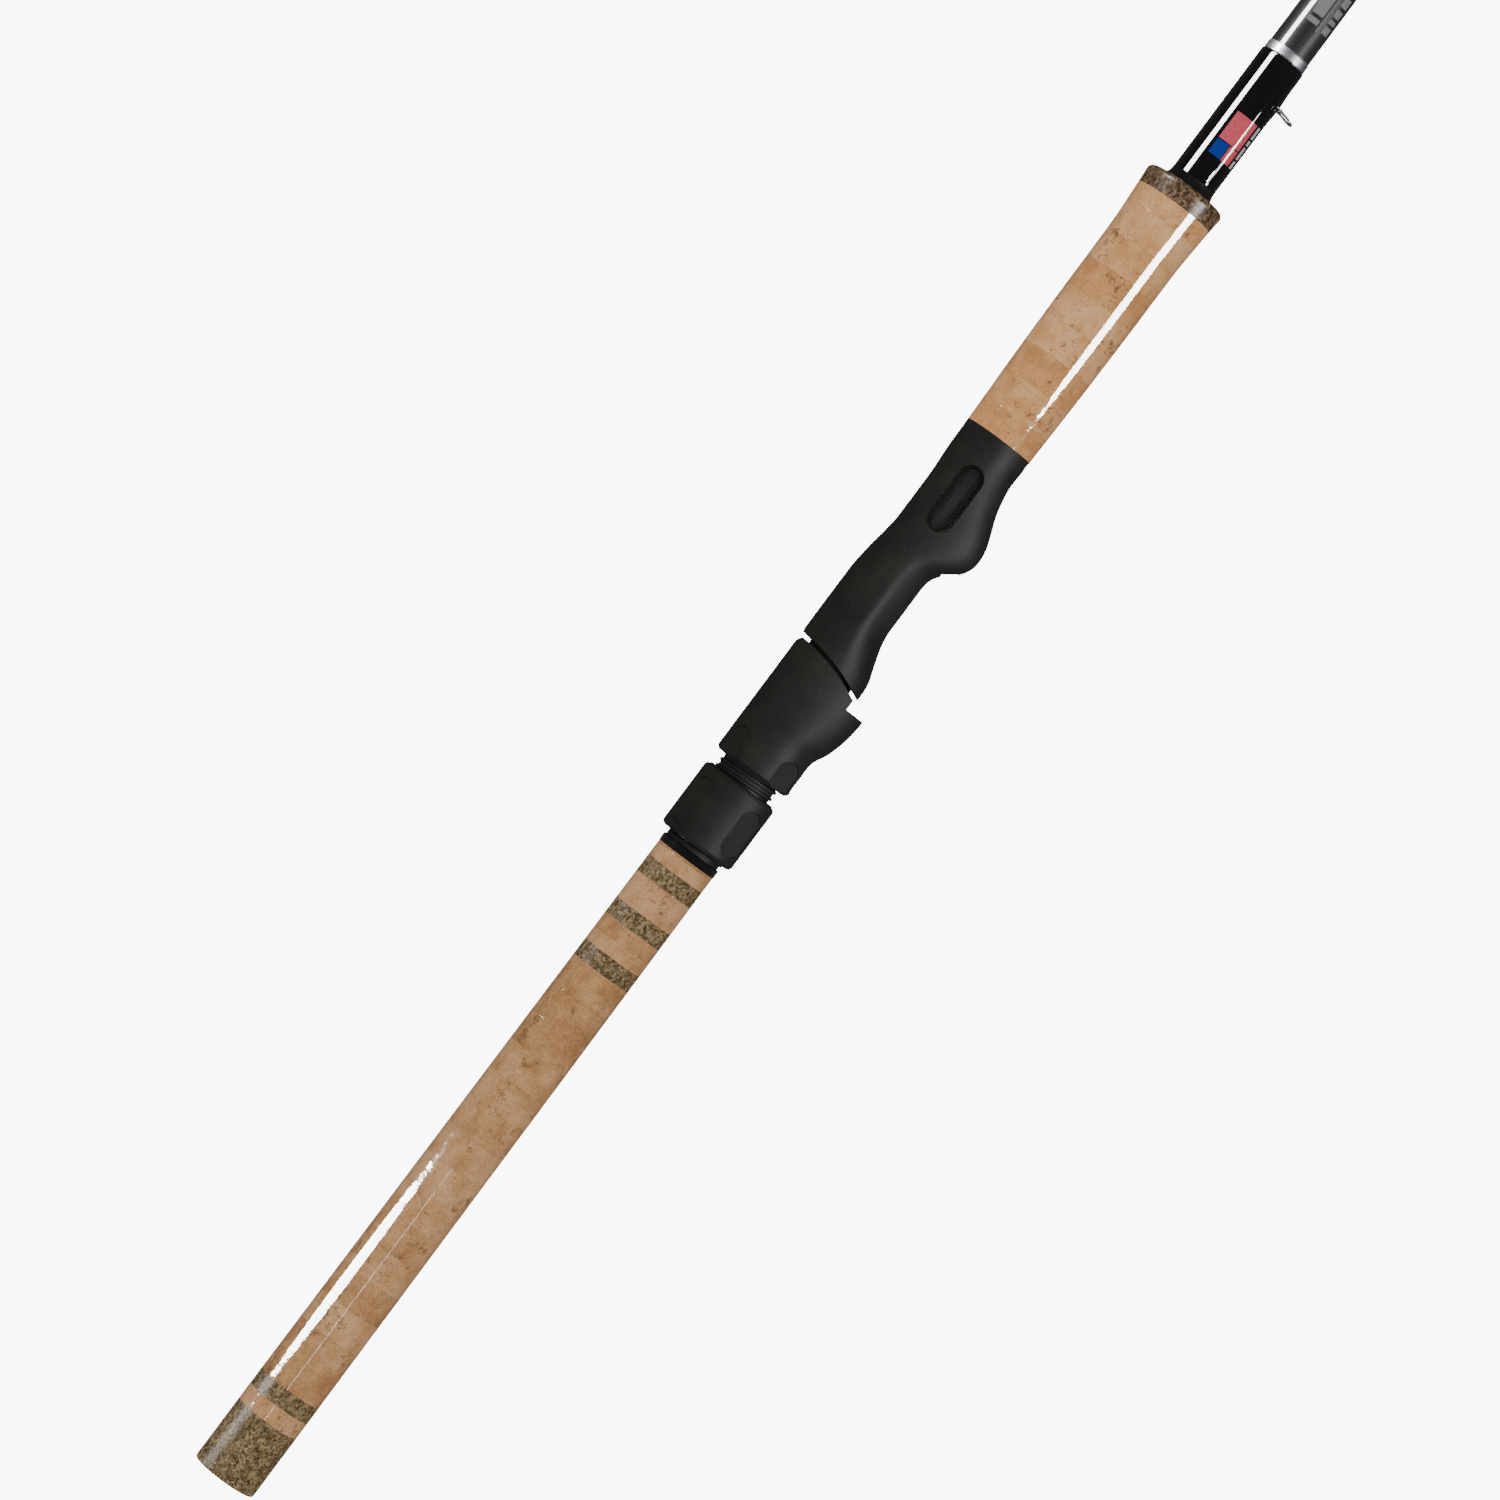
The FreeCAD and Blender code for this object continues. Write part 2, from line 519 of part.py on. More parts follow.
def make_hood():
    stations = [HOOD_REAR + (PARTING + 12 - HOOD_REAR) * k / 16 for k in range(17)]
    round_part = smooth([(HOOD_REAR, HOOD_RADIUS), (PARTING + 12, HOOD_RADIUS)])
    keel = smooth([
        (HOOD_REAR, HOOD_RADIUS), (HOOD_MOUTH - 24, HOOD_RADIUS), (HOOD_MOUTH - 19, 18.1),
        (HOOD_MOUTH - 12, 20.4), (HOOD_MOUTH - 5, 21.6), (HOOD_MOUTH, LIP_DEPTH),
        (PARTING + 12, LIP_DEPTH)])
    hood = lofted(stations, round_part, keel, round_part, lambda x: 2.0)
    hood = hood.common(parting_prism(-PARTING_GAP / 2, False)).cut(crown_notch())
    start, beyond = HOOD_RADIUS - HOOD_CHAMFER, HOOD_CHAMFER + 2
    rear = lathe([(HOOD_REAR - 1, start - 1), (HOOD_REAR - 1, 30), (HOOD_REAR + beyond, 30),
                  (HOOD_REAR + beyond, start + beyond)])
    below = box((HOOD_MOUTH, PARTING + 20), (-20, 20), (-30, -TONGUE_DEPTH))
    roof = LIP_DEPTH - POCKET_WALL
    mouth, end = HOOD_MOUTH + 1, HOOD_MOUTH - POCKET_LENGTH
    foot_pocket = pocket(mouth, end, TONGUE_DEPTH, roof, POCKET_TAPER)
    bore = THREAD_CREST + HOOD_CLEARANCE
    cuts = [rear, below, foot_pocket, rod(V(HOOD_REAR - 1, 0, 0), V(PARTING + 20, 0, 0), bore)]
    cuts += flat_cutters(HOOD_REAR - 15, HOOD_REAR + HOOD_FLAT_LENGTH, HOOD_RADIUS)
    for cutter in cuts:
        hood = hood.cut(cutter)
    key = keyway(-KEY_CLEARANCE, HOOD_REAR + 2, HOOD_REAR + 22)
    key = key.common(rod(V(HOOD_REAR, 0, 0), V(PARTING, 0, 0), bore + 0.6))
    keep("seat_hood", joined([hood, key]))
    pad = box((end + 2, HOOD_MOUTH - 0.5), (-4.4, 4.4), (-roof - 2, -TONGUE_DEPTH - 0.5))
    room = pocket(mouth, end, TONGUE_DEPTH - 2, roof - LINER, POCKET_TAPER)
    keep("hood_liner", pad.common(foot_pocket).cut(room))


def make_nut():
    edge = 1.6
    outline = [(NUT_REAR, 0), (NUT_REAR, NUT_RADIUS - edge), (NUT_REAR + 0.5, NUT_RADIUS - 0.5),
               (NUT_REAR + edge, NUT_RADIUS), (NUT_FRONT - edge, NUT_RADIUS),
               (NUT_FRONT - 0.5, NUT_RADIUS - 0.5), (NUT_FRONT, NUT_RADIUS - edge), (NUT_FRONT, 0)]
    nut = lathe(outline)
    flats_start = NUT_REAR + 3.3
    for cutter in flat_cutters(flats_start, flats_start + NUT_FLAT_LENGTH, NUT_RADIUS):
        nut = nut.cut(cutter)
    bore = THREAD_CREST + THREAD_CLEARANCE
    nut = nut.cut(rod(V(NUT_REAR - 1, 0, 0), V(NUT_FRONT + 1, 0, 0), bore))
    counterbore = THREAD_CREST + 1.5
    washer_seat = NUT_FRONT + WASHER_PROUD - WASHER_LENGTH - 0.3
    nut = nut.cut(rod(V(washer_seat, 0, 0), V(NUT_FRONT + 1, 0, 0), counterbore + 0.15))
    ridge = thread_ridge(NUT_REAR + 1.5, washer_seat - 0.5, bore + 0.15, THREAD_ROOT + THREAD_CLEARANCE,
                         THREAD_PITCH / 2 - RIDGE_HALF_CREST - THREAD_CLEARANCE,
                         THREAD_PITCH / 2 - RIDGE_HALF_FOOT - THREAD_CLEARANCE, 0.5)
    keep("lock_nut", nut.fuse(ridge))
    washer_rear = washer_seat + 0.3
    washer_front = washer_rear + WASHER_LENGTH
    washer = rod(V(washer_rear, 0, 0), V(washer_front, 0, 0), counterbore)
    washer = washer.cut(rod(V(washer_rear - 1, 0, 0), V(washer_front + 1, 0, 0), THREAD_CREST + 0.2))
    key = keyway(-KEY_CLEARANCE, washer_rear, washer_front)
    key = key.common(rod(V(washer_rear, 0, 0), V(washer_front, 0, 0), THREAD_CREST + 0.6))
    keep("nut_washer", joined([washer, key]))


def make_seat_fittings():
    trim = [(SEAT_REAR, glued_bore(SEAT_REAR)), (SEAT_REAR, THREAD_CREST - 0.3),
            (SEAT_REAR + 0.4, THREAD_CREST), (TRIM_FRONT - 0.4, THREAD_CREST),
            (TRIM_FRONT, THREAD_CREST - 0.4), (TRIM_FRONT, glued_bore(TRIM_FRONT))]
    keep("rear_trim_ring", lathe(trim))
    arbors = []
    length = 22.0
    room = PARTING + 6 - TRIM_FRONT
    for k in range(3):
        x0 = TRIM_FRONT + 2 + k * (room - 4 - length) / 2
        arbors.append(lathe([(x0, glued_bore(x0)), (x0, BARREL_BORE), (x0 + length, BARREL_BORE),
                             (x0 + length, glued_bore(x0 + length))]))
    keep("seat_arbors", group(arbors))


# ---- handle wrap, hook keeper and label --------------------------------------------------------
def make_handle_wrap():
    check_end = GRIP_FACE + CHECK_LENGTH
    fall = CHECK_RADIUS - HANDLE_WRAP_RADIUS - 0.1
    cone = [(GRIP_FACE + CHECK_LENGTH * t, HANDLE_WRAP_RADIUS + 0.1 + fall * (1 - t) ** 1.8)
            for t in (k / 6 for k in range(7))]
    keep("winding_check", lathe([(GRIP_FACE, glued_bore(GRIP_FACE))] + cone
                                + [(check_end, glued_bore(check_end))]))
    wrap = lathe([
        (check_end, butt_blank_radius(check_end)), (check_end, HANDLE_WRAP_RADIUS + 0.1),
        (check_end + 3, HANDLE_WRAP_RADIUS), (WRAP_END - 0.8, HANDLE_WRAP_RADIUS),
        (WRAP_END, SILVER_RADIUS + 0.05), (WRAP_END, butt_blank_radius(WRAP_END))])
    band_end = WRAP_END + SILVER_BAND
    keep("silver_wrap", lathe([
        (WRAP_END, butt_blank_radius(WRAP_END)), (WRAP_END, SILVER_RADIUS),
        (band_end - 0.6, SILVER_RADIUS), (band_end, butt_blank_radius(band_end) + 0.1),
        (band_end, butt_blank_radius(band_end))]))
    foot, loop = hook_keeper()
    keep("keeper_foot", foot)
    keep("keeper_loop", loop)
    keep("handle_wrap", wrap.cut(foot))
    x0 = GRIP_FACE + LABEL_FROM_GRIP
    inner, outer = HANDLE_WRAP_RADIUS, HANDLE_WRAP_RADIUS + LABEL_THICKNESS
    outline = [(x0, inner), (x0, outer), (x0 + LABEL_LENGTH, outer), (x0 + LABEL_LENGTH, inner)]
    low, high = LABEL_ANGLES
    keep("label", lathe(outline, 90 + low, high - low))


def hook_keeper():
    """The foot under the wrap with its eye, and the loop that hangs in the eye."""
    x = GRIP_FACE + KEEPER_FROM_GRIP
    pivot = V(x, 0, -(HANDLE_WRAP_RADIUS + KEEPER_EYE))
    under = butt_blank_radius(x) + 0.05
    strap = box((x - 6.5, x + 6.5), (-1.5, 1.5), (-HANDLE_WRAP_RADIUS + 0.1, -under + 0.4))
    strap = strap.cut(rod(V(x - 9, 0, 0), V(x + 9, 0, 0), under))
    post = box((x - 0.8, x + 0.8), (-1.5, 1.5), (pivot.z, -under - 0.1))
    post = post.cut(rod(V(x - 9, 0, 0), V(x + 9, 0, 0), under))
    eye = rod(pivot - Y_AXIS * 1.5, pivot + Y_AXIS * 1.5, KEEPER_EYE)
    hole = rod(pivot - Y_AXIS * 3, pivot + Y_AXIS * 3, KEEPER_WIRE + 0.1)
    foot = joined([strap, post, eye]).cut(hole)
    w = KEEPER_HALF_WIDTH
    low = -(KEEPER_DEPTH - KEEPER_WIRE)
    pin = rod(pivot - Y_AXIS * w, pivot + Y_AXIS * w, KEEPER_WIRE)
    sides = [V(x, -w, pivot.z), V(x, -w, low), V(x, w, low), V(x, w, pivot.z)]
    bail = bent_wire(sides, KEEPER_WIRE, 2.6)
    ends = [Part.makeSphere(KEEPER_WIRE, pivot + Y_AXIS * (s * w)) for s in (-1, 1)]
    loop = joined([pin, bail] + ends)
    loop.rotate(pivot, Y_AXIS, KEEPER_LEAN)
    return foot, loop


# ---- line guides -------------------------------------------------------------------------------
def ceramic_ring(x, drop, size):
    """The hard insert: a flat ring with rounded inner corners, its middle at depth drop."""
    outer = size / 2
    hole = outer - (0.9 + 0.035 * size)
    half = (1.6 + 0.035 * size) / 2
    soft = 0.7 * half
    inside = []
    for k in range(7):
        a = math.radians(15 * k)
        inside.append((-half + soft * (1 - math.sin(a)), hole + soft * (1 - math.cos(a))))
    low = inside[::-1]
    outline = low + [(-px, r) for px, r in inside] + [(half, outer), (-half, outer)]
    ring = lathe(outline)
    ring.translate(V(x, 0, -drop))
    return ring


def guide_frame(x, drop, size):
    """Bright wire frame: a holder ring, two legs to the rear foot, one brace to the front foot."""
    wire = 0.45 + 0.017 * size
    outer = size / 2
    half = 0.85 * (1.6 + 0.035 * size) / 2
    holder = lathe([(-half, outer), (-half, outer + 1.1 * wire), (half, outer + 1.1 * wire), (half, outer)])
    holder.translate(V(x, 0, -drop))
    foot_length = 8.0 + 0.42 * size
    thick = 0.35 + 0.02 * size
    spread = 0.42 * size
    pieces = [holder]
    reach = outer + 0.55 * wire
    a = math.radians(48)
    rear_foot = x - 0.10 * size
    rest = blank_radius(rear_foot) + thick / 2
    for side in (-1, 1):
        grip = V(x, side * reach * math.sin(a), -drop + reach * math.cos(a))
        toe = V(rear_foot, side * wire * 0.55, -rest - 0.3 * wire)
        knee = V(x - 0.03 * size, side * (wire + 0.12 * size), -rest - 0.22 * size)
        pieces.append(bent_wire([grip, knee, toe], wire, 0.10 * size + 0.6))
    crown = V(x, 0, -drop + reach)
    front_foot = x + spread + 0.30 * size
    toe = V(front_foot, 0, -blank_radius(front_foot) - thick / 2)
    knee = V(x + 0.30 * size, 0, -drop + reach + 0.02 * size + 0.2)
    pieces.append(bent_wire([crown, knee, toe], wire, 0.12 * size + 0.6))
    for start, way in ((rear_foot, -1), (front_foot, 1)):
        pieces.append(guide_foot(start - way * wire, way * foot_length, thick, wire * 1.7))
    frame = joined(pieces).cut(rod(V(x - half, 0, -drop), V(x + size, 0, -drop), outer))
    return frame.cut(blank_core(x - 60, x + 60)), (rear_foot, front_foot, foot_length, thick)


def guide_foot(x, length, thick, half_width):
    """A foot that lies along the underside of the blank and thins towards its end."""
    way = 1 if length > 0 else -1
    near, far = blank_radius(x), blank_radius(x + length)
    corners = [V(x, 0, -near + 0.35), V(x, 0, -near - thick), V(x + length - way, 0, -far - 0.22),
               V(x + length, 0, -far + 0.2)]
    face = Part.Face(Part.makePolygon(corners + corners[:1]))
    face.translate(V(0, -half_width, 0))
    return face.extrude(V(0, 2 * half_width, 0))


def blank_core(x0, x1):
    """The blank between two places, with no bore."""
    x0, x1 = max(x0, 1.0), min(x1, TIP_END)
    mids = [x for x in (TIP_START, FERRULE_END, FERRULE_END + 60) if x0 < x < x1]
    outline = [(x0, 0)] + [(x, blank_radius(x)) for x in [x0] + mids + [x1]] + [(x1, 0)]
    return lathe(outline)


def guide_wraps(frame, rear_foot, front_foot, foot_length, thick):
    """Thread and clear finish over both feet: two tapered sleeves with the frame let in."""
    sleeves = []
    for start, way in ((rear_foot, -1), (front_foot, 1)):
        toe = start + way * (foot_length + 3.5)
        high = thick + 0.3
        steps = ((start - way * 0.5, 0.25), (start + way * 1.5, high),
                 (start + way * 0.6 * foot_length, high), (toe - way * 1.5, 0.3), (toe, 0.08))
        outline = [(x, blank_radius(x) + rise) for x, rise in steps]
        outline += [(x, blank_radius(x)) for x in (toe, start - way * 0.5)]
        sleeves.append(lathe(outline).cut(frame))
    return group([max(s.Solids, key=lambda p: p.Volume) for s in sleeves])


def make_guides():
    for number, (size, from_tip) in enumerate(GUIDES, 1):
        x = ROD_LENGTH - from_tip
        drop = blank_radius(x) + 1.35 * size - 2
        frame, feet = guide_frame(x, drop, size)
        keep(f"guide_{number}_frame", frame)
        keep(f"guide_{number}_ring", ceramic_ring(x, drop, size))
        keep(f"guide_{number}_wraps", guide_wraps(frame, *feet))


def make_tip_top():
    wire = 0.55
    half = 0.85 * (1.6 + 0.035 * TIP_RING) / 2
    outer = TIP_RING / 2
    x = ROD_LENGTH - (1.6 + 0.035 * TIP_RING) / 2
    drop = outer + wire * 1.1 + 1.2
    start = TIP_END - TIP_TUBE + 1.0
    fit = 0.03
    socket = [(px, tip_blank_radius(px) + fit) for px in (start, TIP_END)]
    shell = [(start, socket[0][1] + TIP_TUBE_WALL), (TIP_END + 1.2, socket[0][1] + TIP_TUBE_WALL),
             (TIP_END + 1.2, 0), (TIP_END, 0)]
    sleeve = lathe([socket[0]] + shell + [socket[1]])
    holder = lathe([(-half, outer), (-half, outer + 1.1 * wire), (half, outer + 1.1 * wire), (half, outer)])
    holder.translate(V(x, 0, -drop))
    shank = socket[0][1] + TIP_TUBE_WALL
    pieces = [sleeve, holder]
    for side in (-1, 1):
        a = math.radians(80)
        reach = outer + 0.55 * wire
        grip = V(x, side * reach * math.sin(a), -drop + reach * math.cos(a))
        heel = V(start + 3.0, side * (shank * 0.75), -shank * 0.5)
        knee = V(x - 4.5, side * (shank + 1.0), -shank * 0.75)
        pieces.append(bent_wire([heel, knee, grip], wire, 1.8))
    saddle = rod(V(TIP_END + 0.6, 0, 0), V(x, 0, -drop + outer + 0.7 * wire), wire * 1.2)
    pieces.append(saddle)
    frame = joined(pieces)
    frame = frame.cut(rod(V(x - 6, 0, -drop), V(x + 6, 0, -drop), outer))
    frame = frame.cut(lathe([(start - 1, 0)] + [(start - 1, socket[0][1])] + socket + [(TIP_END, 0)]))
    keep("tip_top_frame", frame)
    keep("tip_top_ring", ceramic_ring(x, drop, TIP_RING))
    wrap = [(start - 14, 0.06), (start - 12.5, 0.3), (start - 1, 0.45), (start, 0.35)]
    outline = [(px, tip_blank_radius(px) + rise) for px, rise in wrap]
    outline += [(px, tip_blank_radius(px)) for px in (start, start - 14)]
    keep("tip_wrap", lathe(outline))


# ---- build and write ----------------------------------------------------------------------------
def main():
    make_blanks()
    make_butt_cap()
    make_rear_grip()
    make_foregrip()
    make_seat_fittings()
    make_seat_body()
    make_hood()
    make_nut()
    make_handle_wrap()
    make_guides()
    make_tip_top()
    os.makedirs("parts", exist_ok=True)
    for name, shape in PARTS.items():
        shape.exportStep(os.path.join("parts", name + ".step"))
    print(len(PARTS), "nodes")


main()
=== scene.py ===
"""Looks for the two-piece spinning rod. The grips, seat, keeper, guide frames and rings are the CAD's own
meshes with a finish put on; the blank, thread wraps, winding check and print are made here."""
import json
import math

import bmesh
import bpy
import numpy as np
from mathutils import Matrix, Vector

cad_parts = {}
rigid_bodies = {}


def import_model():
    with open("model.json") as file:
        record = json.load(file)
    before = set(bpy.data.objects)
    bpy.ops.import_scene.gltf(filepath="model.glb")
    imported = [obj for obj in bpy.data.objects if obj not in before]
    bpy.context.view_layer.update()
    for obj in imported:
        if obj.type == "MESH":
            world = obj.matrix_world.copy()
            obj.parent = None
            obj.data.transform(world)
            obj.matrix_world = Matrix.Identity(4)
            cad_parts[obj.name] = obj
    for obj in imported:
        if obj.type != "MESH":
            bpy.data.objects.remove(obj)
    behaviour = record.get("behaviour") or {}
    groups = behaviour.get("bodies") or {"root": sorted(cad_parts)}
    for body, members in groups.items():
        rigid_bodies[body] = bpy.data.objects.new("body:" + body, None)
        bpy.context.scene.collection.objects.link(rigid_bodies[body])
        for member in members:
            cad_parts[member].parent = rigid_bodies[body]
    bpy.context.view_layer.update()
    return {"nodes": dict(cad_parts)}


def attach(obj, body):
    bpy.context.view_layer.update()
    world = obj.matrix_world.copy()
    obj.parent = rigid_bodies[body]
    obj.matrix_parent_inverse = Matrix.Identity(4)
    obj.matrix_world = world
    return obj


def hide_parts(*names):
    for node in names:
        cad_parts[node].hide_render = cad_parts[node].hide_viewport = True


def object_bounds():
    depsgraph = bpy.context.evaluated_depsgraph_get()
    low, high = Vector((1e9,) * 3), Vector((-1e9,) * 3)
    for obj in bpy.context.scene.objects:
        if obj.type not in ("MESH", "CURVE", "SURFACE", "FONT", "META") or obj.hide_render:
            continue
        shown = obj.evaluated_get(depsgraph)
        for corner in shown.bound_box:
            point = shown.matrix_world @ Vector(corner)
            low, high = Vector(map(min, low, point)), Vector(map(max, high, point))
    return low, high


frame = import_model()
NODES = frame["nodes"]
MM = 0.001                      # metres

# ---- sizes in millimetres, as in the part's source ------------------------------------------------
SEAT_FRONT, GRIP_FACE = 472.1, 586.8
CHECK_END = GRIP_FACE + 4.2
WRAP_END = GRIP_FACE + 58.6
WRAP_RADIUS, SILVER_BAND = 9.13, 3.9
KEEPER_X = GRIP_FACE + 42.9
CORK_RING = 12.7                # one stock ring; the two grips' glue lines are counted from these places
REAR_GRIP_SEAM, FOREGRIP_SEAM = 229.8, SEAT_FRONT + 9.9
ROD_LENGTH, OVERLAP = 2286.0, 76.0
SECTION = (ROD_LENGTH + OVERLAP) / 2
TIP_START, TIP_END = ROD_LENGTH - SECTION, ROD_LENGTH - 2.0
# each guide's ring size and how far its ring is from the tip
GUIDES = ((30, 1245.0), (20, 975.0), (16, 745.0), (12, 550.0), (10, 380.0), (8, 235.0), (8, 110.0))


# ---- shapes ---------------------------------------------------------------------------------------
def butt_radius(x):
    """Outer radius of the butt section: straight tapers from 9 to 8.5 to 6.2 mm."""
    return np.interp(x, (0, WRAP_END, SECTION), (9.0, 8.5, 6.2))


FERRULE = float(butt_radius(TIP_START)) + 0.95
FERRULE_END = SECTION + 2.0


def tip_radius(x):
    """Outer radius of the tip section: the socket, a swell that runs out in 60 mm, then a taper."""
    return np.interp(x, (TIP_START, FERRULE_END, FERRULE_END + 60, TIP_END), (FERRULE, 7.15, 6.0, 1.1))


def blank_radius(x):
    return np.where(x > TIP_START, tip_radius(x), butt_radius(x))


def rows_about_x(x, radius, around=96):
    """Points of a surface about X: row i is a ring at x[i] whose radius is radius[i], or radius[i, j]
    at angle j. Angle 0 is +Y and the angle grows towards +Z."""
    angle = np.linspace(0, 2 * np.pi, around, endpoint=False)
    size = (len(x), around)
    radius = np.broadcast_to(np.asarray(radius, float).reshape(len(x), -1), size)
    x = np.broadcast_to(np.asarray(x, float)[:, None], size)
    return np.stack([x, radius * np.cos(angle), radius * np.sin(angle)], -1)


def skin(name, grid, material, body, stands_for=(), closed=(True, True), sharp=35):
    """A mesh of four-sided faces over a grid of points in mm. Each direction of the grid either closes on
    itself or ends in one flat face."""
    n, m = grid.shape[:2]
    points = grid.reshape(-1, 3) * MM
    i = np.arange(n if closed[0] else n - 1)
    j = np.arange(m if closed[1] else m - 1)
    a = i[:, None] * m + j
    b = ((i + 1) % n)[:, None] * m + j
    c = ((i + 1) % n)[:, None] * m + (j + 1) % m
    d = i[:, None] * m + (j + 1) % m
    faces = np.stack([a, b, c, d], -1).reshape(-1, 4).tolist()
    if not closed[0]:
        faces += [list(range(m)), list(range((n - 1) * m, n * m))]
    if not closed[1]:
        faces += [list(range(0, n * m, m)), list(range(m - 1, n * m, m))]
    mesh = bpy.data.meshes.new(name)
    mesh.from_pydata(points.tolist(), [], faces)
    work = bmesh.new()
    work.from_mesh(mesh)
    bmesh.ops.recalc_face_normals(work, faces=work.faces)
    work.to_mesh(mesh)
    work.free()
    mesh.shade_smooth()
    mesh.set_sharp_from_angle(angle=math.radians(sharp))
    mesh.materials.append(material)
    piece = bpy.data.objects.new(name, mesh)
    bpy.context.scene.collection.objects.link(piece)
    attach(piece, body)
    if stands_for:
        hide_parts(*stands_for)
    return piece


def turned(name, outline, material, body, stands_for=(), around=96):
    """A closed outline of (x, radius) points turned about X."""
    x, r = np.array(outline, float).T
    return skin(name, rows_about_x(x, r, around), material, body, stands_for)


def eased(t):
    """0 to 1 with level ends: 3t² - 2t³."""
    t = np.clip(t, 0, 1)
    return t * t * (3 - 2 * t)


# ---- materials ------------------------------------------------------------------------------------
def linear(code):
    """An sRGB hex colour as linear RGBA."""
    parts = [int(code[k:k + 2], 16) / 255 for k in (1, 3, 5)]
    return [p / 12.92 if p <= 0.04045 else ((p + 0.055) / 1.055) ** 2.4 for p in parts] + [1.0]


def add(tree, kind, feeds=None, out=0, stops=(), **settings):
    """Adds one node with its settings, gives each input named in feeds a value or a link, and returns one
    output, or several where out lists them. stops are a colour ramp's places and colours."""
    node = tree.nodes.new("ShaderNode" + kind)
    for key, value in settings.items():
        setattr(node, key, value)
    for key, value in (feeds or {}).items():
        if isinstance(value, bpy.types.NodeSocket):
            tree.links.new(value, node.inputs[key])
        else:
            node.inputs[key].default_value = value
    for k, (position, code) in enumerate(stops):
        stop = node.color_ramp.elements[k] if k < 2 else node.color_ramp.elements.new(position)
        stop.position, stop.color = position, linear(code)
    found = [node.outputs[k] for k in (out if isinstance(out, tuple) else (out,)) if k < len(node.outputs)]
    return found[0] if len(found) == 1 else found


class Finish:
    """A material being made: its node tree, its Principled shader with plain values set on it, and the
    object's coordinates in millimetres."""

    def __init__(self, name, **plain):
        self.material = bpy.data.materials.new(name)
        self.material.use_nodes = True
        self.tree = self.material.node_tree
        self.shader = self.tree.nodes["Principled BSDF"]
        for key, value in plain.items():
            self.shader.inputs[key.replace("_", " ")].default_value = value
        place = self.node("TexCoord", out=3)
        self.mm = self.node("VectorMath", {0: place, 1: (1000, 1000, 1000)}, operation="MULTIPLY")

    def node(self, kind, feeds=None, **more):
        return add(self.tree, kind, feeds, **more)

    def wear(self, socket, value):
        """Links a pattern to one of the shader's inputs."""
        self.tree.links.new(value, self.shader.inputs[socket])

    def relief(self, height, depth, coat=False):
        """Raises the surface, or only its clear coat, by up to depth mm."""
        self.wear("Coat Normal" if coat else "Normal",
                  self.node("Bump", {"Height": height, "Distance": depth * MM, "Strength": 1.0}))


